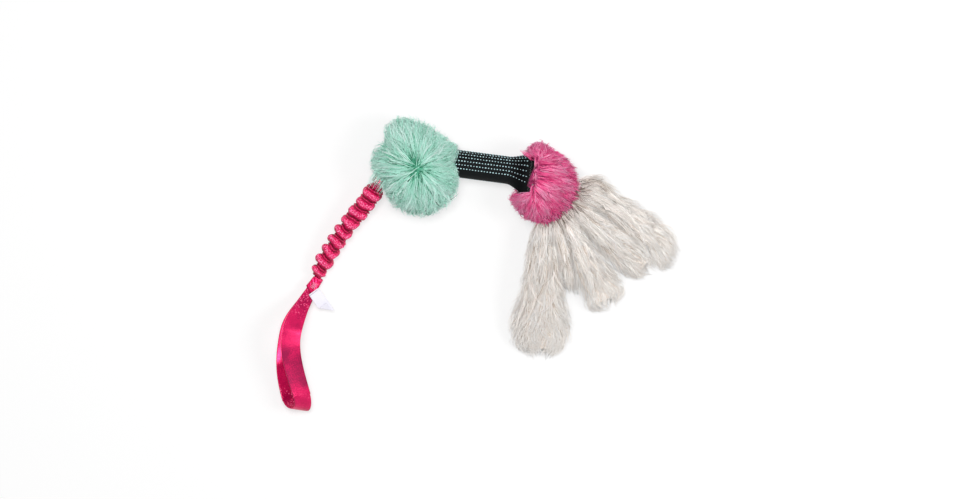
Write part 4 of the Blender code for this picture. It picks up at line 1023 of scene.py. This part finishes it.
def makeNeckFlap():  # the sleeve's flattened end, laid over the strap and cut at a slant
    rows, columns = flap["rows"], flap["columns"]
    sides = np.empty((2, rows + 1, columns + 1, 3))
    for i in range(rows + 1):
        down = i / rows
        for j in range(columns + 1):
            across = 2 * j / columns - 1
            at, sideways = strandRow(upperPoint, flap["reach"] * down * (1 - flap["slant"] * across * down))[:2]
            edge = math.sqrt(max(0.0, 1 - max(0.0, (abs(across) - 0.85) / 0.15) ** 2))
            ripple = flap["ripple"] * math.sin(4 * across + 11 * down)
            ripple += flap["crown"] * (1 - across * across) * (1 - down)
            beside = at + (flap["aside"] + mix(flap["neckHalf"], flap["cutHalf"], down) * across) * sideways
            for k, side in enumerate((1, -1)):
                sides[k, i, j] = beside + (flap["level"] + ripple + side * flap["halfThick"] * (0.3 + 0.7 * edge)) * up
    tones = np.full(sides.shape[:3], 0.6)
    tones[:, -flap["shadowRows"] :] = -0.3  # painted shadow along its cut edge
    return markFolds(thinSheet("neck_flap", sides, sleeveWebbing), tones)


fit(makeNeckFlap(), "loop", "pink_webbing")
print("straps, stitches and tag made")


# Fur balls
def keepOutOfTube(points, room=0.0012):  # points pushed out of the bite tube
    local = points - np.array(biteStart)
    along = local @ np.array(biteAlong)
    width, height, bow = biteShape(np.clip(along, 0, bite["length"]))
    side = local @ np.array(biteAcross) - bow
    rise = local[..., 2]
    depth = np.hypot(side / (width + room), rise / (height + room))
    inside = (depth < 1) & (along > -0.004) & (along < bite["length"] + 0.004)
    push = np.where(inside, 1 / np.maximum(depth, 0.05) - 1, 0)[..., None]
    return points + push * (side[..., None] * np.array(biteAcross) + rise[..., None] * np.array(up))


def keepOffPoint(points, centre, radius):
    away = points - np.array(centre)
    far = np.linalg.norm(away, axis=-1, keepdims=True)
    return np.where(far < radius, np.array(centre) + away / np.maximum(far, 1e-5) * radius, points)


def ballPoints(ball, reachAt, azimuth, polar, share):
    # polar is measured from the crown, in radians; the ball rests on the floor
    reach = reachAt(azimuth)
    radians = np.radians(azimuth)
    edge = np.stack([ball["centre"][0] + reach * np.cos(radians), ball["centre"][1] + reach * np.sin(radians)], axis=-1)
    out = (np.sin(polar) * share)[..., None]
    aside = np.sin(radians - math.radians(bite["heading"]))
    crown = np.array(ball["crown"]) + np.multiply.outer(aside, ball["crownLine"])
    rise = np.cos(polar) * share
    above, below = ball["top"] - ball["widest"], ball["widest"] + ball["sunk"]
    z = ball["widest"] + np.where(rise > 0, rise * above, rise * below)
    return np.concatenate([crown * (1 - out) + edge * out, np.maximum(z, 0.0006)[..., None]], axis=-1)


pile = {
    "steps": 7, "span": (28, 52), "lowest": 112, "startMost": 100, "belowShare": 0.14, "belowStart": (150, 175),
    "belowEnd": (105, 130), "low": (0.66, 0.8), "high": (0.93, 1.04),
}


def ballGuides(ball, reachAt, count, seed, crowding=1.0, span=pile["span"], lift=0.0):
    # lines that run down the ball from near its crown; some start below; angles are in degrees
    rng = np.random.default_rng(seed)
    azimuth = rng.uniform(0, 360, count)
    widest = 1 - math.cos(math.radians(pile["startMost"]))
    start = np.degrees(np.arccos(1 - rng.uniform(0, 1, count) ** crowding * widest))
    end = np.minimum(start + rng.uniform(*span, count), pile["lowest"] + rng.uniform(-6, 6, count))
    below = rng.uniform(0, 1, count) < pile["belowShare"]
    start = np.where(below, rng.uniform(*pile["belowStart"], count), start)
    end = np.where(below, rng.uniform(*pile["belowEnd"], count), end)
    t = np.linspace(0, 1, pile["steps"])
    sway = rng.normal(0, 7, count)[:, None] * t**2 + rng.normal(0, 3, count)[:, None] * np.sin(2 * np.pi * t)
    polar = np.radians(start[:, None] + (end - start)[:, None] * t**0.9)
    low = rng.uniform(*pile["low"], count)[:, None]
    high = rng.uniform(*pile["high"], count)[:, None]
    share = low + (high - low) * np.sin(t * np.pi / 2) + lift
    return ballPoints(ball, reachAt, azimuth[:, None] + sway, polar, share), rng.uniform(0, 1, count)


def ballCore(name, ball, reachAt, material):
    rings = []
    azimuth = np.linspace(0, 360, 64, endpoint=False)
    share = np.full(len(azimuth), ball["core"])
    for polar in np.linspace(0, math.pi, 33)[1:-1]:
        rings.append(ballPoints(ball, reachAt, azimuth, np.full(len(azimuth), polar), share))
    return loft(name, rings, material)


accents = {  # count of locks, crowding at the crown, lift, span in degrees, tone, thickness
    # pale strands as painted highlight, dark ones as painted shade in the partings
    "highlit_strands": (130, 1.1, 0.03, (30, 52), 1.3, 0.0010),
    "shaded_partings": (80, 2.2, 0.02, (12, 28), -0.6, 0.0008),
}
accentLocks = {
    "Fibres": 3, "Root_spread": 0.0012, "Tip_spread": 0.0022, "Shortest": 0.6, "Frizz": 0.007, "Frizz_scale": 80.0,
    "Steps": 8,
}


def growAccents(ball, reachAt, name, placed, fibre, seed):  # thick strands painted pale as painted highlight, and dark strands as painted shade in the partings between the locks
    for number, (kind, (count, crowding, lift, span, tone, thickness)) in enumerate(accents.items()):
        guides, tones = placed(*ballGuides(ball, reachAt, count, seed + number, crowding, span, lift))
        piece = growLocks(
            f"{name}_{kind}", guides, tone + 0.3 * tones, Thickness=thickness, Seed=seed + number, Material=fibre,
            **accentLocks,
        )
        fit(piece, "bite", name)


# Mint fur ball
mint = {
    "centre": (-0.06512, 0.10394), "crown": (-0.062, 0.1008), "crownLine": (0, 0), "radius": 0.042, "top": 0.070,
    "widest": 0.030, "sunk": 0.0015, "core": 0.8,
    "lobes": [  # heading, how far it stands out, how wide in degrees
        (113.0, 0.0105, 26.0), (143.0, -0.006, 9.0), (172.0, 0.003, 18.0), (-75.0, 0.0095, 42.0), (-35.0, 0.004, 24.0),
        (-154.0, -0.0065, 16.0),
    ],
    "parts": 3, "locks": 400, "bungeeRoom": 0.013,
    "over": [
        (-0.090, 0.101, 0.046), (-0.0965, 0.0945, 0.043), (-0.1015, 0.0885, 0.039), (-0.1060, 0.0830, 0.0355),
        (-0.1095, 0.0775, 0.034),
    ],
    "overCount": 9, "overAcross": (0.85, -0.53, 0),
}
mintLocks = {
    "Fibres": 11, "Root_spread": 0.003, "Tip_spread": 0.0045, "Shortest": 0.6, "Thickness": 0.00075, "Frizz": 0.006,
    "Frizz_scale": 60.0, "Steps": 6,
}
overLocks = {
    "Fibres": 7, "Root_spread": 0.002, "Tip_spread": 0.0026, "Shortest": 0.65, "Thickness": 0.0007, "Frizz": 0.006,
    "Frizz_scale": 70.0, "Steps": 7,
}


def mintReach(degrees):
    reach = mint["radius"] + 0 * degrees
    for lobe, extra, spread in mint["lobes"]:
        turn = (degrees - lobe + 180) % 360 - 180
        reach = reach + extra * np.exp(-((turn / spread) ** 2))
    return reach


def mintPlaced(guides, tones):  # clear of the tube and the bungee's end
    return keepOffPoint(keepOutOfTube(guides), liftPoint, mint["bungeeRoom"]), tones


def makeMint():
    fit(ballCore("mint_fur_core", mint, mintReach, mintBase), "bite", "mint_fur", "mint_fur")
    for part in range(mint["parts"]):
        guides, tones = mintPlaced(*ballGuides(mint, mintReach, mint["locks"], 11 + part))
        piece = growLocks(f"mint_fur_locks_{part + 1}", guides, tones, Seed=part, Material=mintFibre, **mintLocks)
        fit(piece, "bite", "mint_fur")
    way, count = np.array(mint["over"]), mint["overCount"]
    rng = np.random.default_rng(8)
    aside = np.linspace(-0.9, 1.1, count)[:, None, None] * np.linspace(0.010, 0.009, len(way))[None, :, None]
    aside = aside * np.array(mint["overAcross"])
    way = way[None] + rng.normal(0, 0.0012, (count, 1, 3)) * np.linspace(0, 1, len(way))[None, :, None]
    over = growLocks(  # tips that fall over the bungee's upper end
        "mint_fur_over_bungee", way + aside, rng.uniform(0.4, 1.2, count), Seed=9, Material=mintFibre, **overLocks,
    )
    fit(over, "bite", "mint_fur")
    growAccents(mint, mintReach, "mint_fur", mintPlaced, mintFibre, 71)


makeMint()

# Pink ruff
ruff = {
    "centre": (0.072161, 0.084854), "crown": (0.0615, 0.0932),
    "crownLine": (0.0165 * biteAcross.x, 0.0165 * biteAcross.y),  # its fur parts along the tube's end
    "top": 0.062, "widest": 0.028, "sunk": 0.0012, "core": 0.74,
    "outline": [  # heading, reach in millimetres
        (98, 43.7), (77, 34.0), (33, 32.6), (-10, 32.6), (-60, 34.0), (-90, 41.0), (-130, 40.0), (-160, 40.0),
        (172, 30.0), (130, 38.0),
    ],
    "parts": 2, "locks": 640, "crowding": 1.7, "mostSlid": 0.012, "tips": 160,
    "stray": [
        (0.0570, 0.1120, 0.044), (0.0535, 0.1150, 0.046), (0.0495, 0.1172, 0.046), (0.0462, 0.1192, 0.044),
        (0.0440, 0.1222, 0.042),
    ],
}
ruffLocks = {
    "Fibres": 10, "Root_spread": 0.0018, "Tip_spread": 0.0034, "Shortest": 0.6, "Thickness": 0.0008, "Frizz": 0.005,
    "Frizz_scale": 60.0, "Steps": 6,
}
strayLocks = {
    "Fibres": 12, "Root_spread": 0.0022, "Tip_spread": 0.0012, "Shortest": 0.6, "Thickness": 0.0008, "Frizz": 0.004,
    "Frizz_scale": 80.0, "Steps": 8,
}
tipLocks = {
    "Fibres": 3, "Root_spread": 0.0012, "Tip_spread": 0.0008, "Shortest": 0.6, "Thickness": 0.0007, "Frizz": 0.004,
    "Frizz_scale": 80.0, "Steps": 7,
}


def ruffReach(degrees):  # between the outline's listed headings
    listed = sorted((angle % 360, reach * 0.001) for angle, reach in ruff["outline"])
    listed = [(listed[-1][0] - 360, listed[-1][1]), *listed, (listed[0][0] + 360, listed[0][1])]
    return np.interp(degrees % 360, *zip(*listed))


def pastTubeEnd(points):  # what would lie on top of the bite tube slides along it, past its end
    local = points - np.array(biteStart)
    along, side, rise = local @ np.array(biteAlong), local @ np.array(biteAcross), local[..., 2]
    short = bite["length"] + 0.0016 - along
    over = (short > 0) & (np.abs(side) < bite["flatWidth"] + 0.0012) & (rise > -0.002)
    slid = np.where(over, short, 0)
    return points + slid[..., None] * np.array(biteAlong), slid


def ruffPlaced(guides, tones):
    guides, slid = pastTubeEnd(guides)
    keep = slid.max(axis=1) < ruff["mostSlid"]
    return keepOutOfTube(guides[keep]), tones[keep]


def makeRuff():
    core = fit(ballCore("pink_fur_core", ruff, ruffReach, pinkBase), "bite", "pink_fur", "ruff_fur")
    verts = np.array([tuple(v.co) for v in core.data.vertices])
    core.data.vertices.foreach_set("co", pastTubeEnd(keepOutOfTube(verts, 0.002))[0].ravel())
    for part in range(ruff["parts"]):
        guides, tones = ruffPlaced(*ballGuides(ruff, ruffReach, ruff["locks"], 31 + part, ruff["crowding"]))
        piece = growLocks(f"pink_fur_locks_{part + 1}", guides, tones, Seed=10 + part, Material=pinkFibre, **ruffLocks)
        fit(piece, "bite", "pink_fur")
    way = np.array(ruff["stray"])
    pair = np.stack([way, way + (0.001, -0.0015, -0.001)])
    stray = growLocks("pink_fur_stray_lock", pair, np.array([0.5, 0.1]), Seed=19, Material=pinkFibre, **strayLocks)
    fit(stray, "bite", "pink_fur")
    growAccents(ruff, ruffReach, "pink_fur", ruffPlaced, pinkFibre, 75)
    rng = np.random.default_rng(77)
    count = ruff["tips"]
    t = np.linspace(0, 1, 6)
    polar = np.radians(rng.uniform(46, 84, count)[:, None] + rng.uniform(4, 12, count)[:, None] * t)
    azimuth = rng.uniform(-105, 58, count)[:, None] + rng.normal(0, 5, count)[:, None] * t**2
    reached = 0.9 + rng.uniform(0.12, 0.3, count)[:, None] * t
    tips = growLocks(  # thin tips that stand out over the wool; their low tones are painted shade
        "pink_fur_long_tips", ballPoints(ruff, ruffReach, azimuth, polar, reached), rng.uniform(-0.6, 0.4, count),
        Seed=78, Material=pinkFibre, **tipLocks,
    )
    fit(tips, "bite", "pink_fur")


makeRuff()
print("fur balls made")


# Sheepskin tails
tails = {  # heading, length from the hinge, half angle, sideways bend of the tip, reach of the shoulder, rounded end
    "tail_1": (-16.6, 0.117, 9.2, -0.037, 0.019, 0.024),
    "tail_2": (-39.5, 0.106, 10.0, 0.0, 0.0, 0.022),
    "tail_3": (-61.5, 0.108, 9.4, -0.001, 0.0, 0.010),
    "tail_4": (-75.6, 0.080, 4.2, 0.0, 0.0, 0.022),
    "tail_5": (-91.8, 0.144, 11.8, 0.0, 0.004, 0.034),
}
wool = {
    "hinge": 0.035, "fan": 0.0232, "root": 0.003, "up": 0.017, "tipShare": 0.3, "tipTop": 0.017, "droop": 0.060,
    "rootHeight": 0.0027, "shoulderAt": 0.010, "shoulderReach": 0.022,
    "core": 0.74, "coreRows": 40, "coreAround": 36, "coreShort": 0.006,
    "density": 16800, "steps": 7, "wisps": 32, "ropes": 40, "strings": 8, "waves": 0.0026,
}
woolLocks = {
    "Fibres": 11, "Root_spread": 0.003, "Tip_spread": 0.005, "Shortest": 0.5, "Thickness": 0.00075, "Frizz": 0.008,
    "Frizz_scale": 85.0, "Steps": 6,
}
ropeLocks = {
    "Fibres": 8, "Root_spread": 0.0022, "Tip_spread": 0.001, "Shortest": 0.7, "Thickness": 0.0007, "Frizz": 0.007,
    "Frizz_scale": 70.0, "Steps": 9,
}
wispLocks = {
    "Fibres": 5, "Root_spread": 0.002, "Tip_spread": 0.004, "Shortest": 0.6, "Thickness": 0.0006, "Frizz": 0.005,
    "Frizz_scale": 70.0, "Steps": 6,
}
stringLocks = {
    "Fibres": 2, "Root_spread": 0.0012, "Tip_spread": 0.0016, "Shortest": 0.8, "Thickness": 0.0011, "Frizz": 0.005,
    "Frizz_scale": 90.0, "Steps": 14,
}


def woolPoints(x, angle, share, sizes):  # in the tail's own frame, from its hinge
    length, halfAngle, bend, shoulder, rounding = sizes[1:]
    inside = np.clip(x, wool["root"], length)
    nearTip = np.maximum(0, inside - length + rounding) / rounding
    tip = np.maximum(np.sqrt(np.maximum(0, 1 - nearTip**2)), wool["tipShare"])
    wedge = (wool["hinge"] + inside) * math.tan(math.radians(halfAngle))
    root = wool["rootHeight"] + inside - wool["root"]
    top = mix(wool["fan"] + np.minimum(root, wool["up"]), wool["tipTop"], ease(inside, length - wool["droop"], length))
    bottom = wool["fan"] - np.minimum(root, wool["fan"] + 0.002)
    top = mix(bottom, top, (1 + tip) / 2)
    extra = shoulder * np.exp(-(((inside - wool["shoulderAt"]) / wool["shoulderReach"]) ** 2))
    extra = extra * np.maximum(np.cos(angle), 0)  # on its left side only
    y = bend * (inside / length) ** 2 + (wedge * tip * np.cos(angle) + extra) * share
    z = (top + bottom) / 2 + (top - bottom) / 2 * np.sin(angle) * share
    return np.stack([x, y, np.maximum(z, 0.0006) - wool["fan"]], axis=-1)


def tailPlace(points, hinge, turn):  # from the tail's own frame to the world
    cos, sin = math.cos(turn), math.sin(turn)
    x = hinge.x + points[..., 0] * cos - points[..., 1] * sin
    y = hinge.y + points[..., 0] * sin + points[..., 1] * cos
    return np.stack([x, y, points[..., 2] + wool["fan"]], axis=-1)


def woolGuides(rng, count, sizes, starts, spans, shares, angles, twist=0.35):
    # lines down the tail: where they start, how far they run, how deep they lie at both ends, and which side they're on
    length = sizes[1]
    t = np.linspace(0, 1, wool["steps"])
    start = rng.uniform(*starts, count)
    end = np.minimum(start + rng.uniform(*spans, count), length + rng.uniform(-0.003, 0.005, count))
    angle = np.radians(rng.uniform(*angles, count))
    x = start[:, None] + (end - start)[:, None] * t
    low, high = rng.uniform(*shares[:2], count)[:, None], rng.uniform(*shares[2:], count)[:, None]
    around = angle[:, None] + rng.normal(0, twist, count)[:, None] * t**2
    return woolPoints(x, around, mix(low, high, np.sin(t * np.pi / 2)), sizes), start


def makeTail(number, name, sizes):
    heading, length, halfAngle = sizes[:3]
    hinge, turn = jointPoint(name + "_lift"), math.radians(heading)
    around = np.linspace(0, 2 * np.pi, wool["coreAround"], endpoint=False)
    rings = []
    for i in range(wool["coreRows"]):
        x = mix(wool["root"], length - wool["coreShort"], 1 - (1 - i / (wool["coreRows"] - 1)) ** 1.3)
        rings.append(tailPlace(woolPoints(np.full(len(around), x), around, wool["core"], sizes), hinge, turn))
    fit(loft(name + "_wool_core", rings, woolBase), name, "wool", name + "_wool")
    rng = np.random.default_rng(50 + number)
    count = int(wool["density"] * length * math.tan(math.radians(halfAngle)))
    guides, start = woolGuides(
        rng, count, sizes, (-0.004, length - 0.010), (0.018, 0.034), (0.5, 0.72, 0.88, 1.08), (0, 360),
    )
    streaks = rng.uniform(0, 1, count) < 0.1
    # painted shade: locks that start near the root, under the ruff, are darker
    tones = rng.uniform(0.42, 1.0, count) - 0.5 * np.exp(-(start + 0.004) / 0.006) - 0.35 * streaks
    # short dark wisps at the root: painted shade under the ruff
    wisps = woolGuides(rng, wool["wisps"], sizes, (-0.008, 0.002), (0.010, 0.021), (0.6, 0.8, 0.97, 1.06), (45, 135))[0]
    ropes = woolGuides(
        rng, wool["ropes"], sizes, (0.0, length * 0.62), (0.026, 0.042), (0.92, 1.0, 0.98, 1.06), (35, 145), 0.5,
    )[0]
    strings = woolGuides(
        rng, wool["strings"], sizes, (0.004, length * 0.55), (0.020, 0.034), (1.0, 1.06, 1.04, 1.1), (50, 130), 0.8,
    )[0]
    waves = np.sin(np.linspace(0, 9, wool["steps"]))[None, :, None] * rng.uniform(-1, 1, (wool["strings"], 1, 3))
    waves = waves * np.array([1, 1, 0.3])
    kinds = (
        ("wool_locks", guides, tones, 20, woolFibre, woolLocks),
        ("wool_ropes", ropes, rng.uniform(0.0, 0.9, wool["ropes"]), 60, woolFibre, ropeLocks),
        ("shade_wisps", wisps, np.full(wool["wisps"], -0.3), 30, woolFibre, wispLocks),
        ("curly_strings", strings + wool["waves"] * waves, np.full(wool["strings"], 0.55), 40, stringWool, stringLocks),
    )
    for kind, lines, tones, seed, fibre, locks in kinds:
        piece = growLocks(
            f"{name}_{kind}", tailPlace(lines, hinge, turn), tones, Seed=seed + number, Material=fibre, **locks,
        )
        fit(piece, name, "wool")


for number, (name, sizes) in enumerate(tails.items()):
    makeTail(number, name, sizes)
print("tails made")


# What stays as the CAD made it, out of sight, gets its real material
inner = {"mint_backing": baseKnit, "ruff_backing": baseKnit, "fan_tab": hideLeather}
inner.update({name + "_hide": hideLeather for name in tails})
for name, finish in inner.items():
    for slot in bpy.data.objects[name].material_slots:
        slot.material = finish
print("inner pieces dressed")


# Floor and light
def paleFloor():
    # seamless studio paper, near white
    made, tree, shader = newMaterial("studio_paper", 0.9, Specular_IOR_Level=0.1)
    shader.inputs["Base Color"].default_value = linear("#FCFCFC")
    seen = addNode(tree, "ShaderNodeLightPath")
    glow = addNode(tree, "ShaderNodeEmission", {"Color": linear("#FFFFFF"), "Strength": 1.0})
    share = addNode(tree, "ShaderNodeMath", {0: seen.outputs["Is Camera Ray"], 1: 0.6}, operation="MULTIPLY")
    both = addNode(tree, "ShaderNodeMixShader", {0: share, 1: shader, 2: glow})
    tree.links.new(both.outputs[0], tree.nodes["Material Output"].inputs["Surface"])
    return made


studio = {
    "floorSize": 8.0, "floorDrop": 0.0004, "world": 0.32,
    "key": ((-0.2, 0.3, 2.06), 0.7, 27.0), "fill": ((1.3, -0.06, 1.4), 0.7, 11.0),  # place, size and power
}
half = studio["floorSize"] / 2
corners = [(-half, -half), (half, -half), (half, half), (-half, half)]
floor = meshObject("floor", [(x, y, -studio["floorDrop"]) for x, y in corners], [(0, 1, 2, 3)], paleFloor())

world = bpy.data.worlds.new("studio_room")
world.use_nodes = True
background = world.node_tree.nodes["Background"]
seen = addNode(world.node_tree, "ShaderNodeLightPath").outputs
brightness = addNode(
    world.node_tree, "ShaderNodeMath", {0: seen["Is Camera Ray"], 1: seen["Is Transmission Ray"]}, operation="MAXIMUM",
)
brightness = addNode(world.node_tree, "ShaderNodeMath", {0: brightness, 1: seen["Is Glossy Ray"]}, operation="MAXIMUM")
brightness = addNode(world.node_tree, "ShaderNodeMath", {0: brightness, 1: studio["world"]}, operation="MAXIMUM")
background.inputs["Color"].default_value = (1, 1, 1, 1)
world.node_tree.links.new(brightness.outputs[0], background.inputs["Strength"])
bpy.context.scene.world = world


def softLight(name, place, size, power):  # a square lamp that looks at the middle of the toy
    data = bpy.data.lights.new(name, "AREA")
    data.shape = "SQUARE"
    data.size = size
    data.energy = power
    lamp = bpy.data.objects.new(name, data)
    lamp.location = place
    lamp.rotation_euler = (-Vector(place)).to_track_quat("-Z", "Y").to_euler()
    bpy.context.scene.collection.objects.link(lamp)


softLight("key", *studio["key"])
softLight("fill", *studio["fill"])
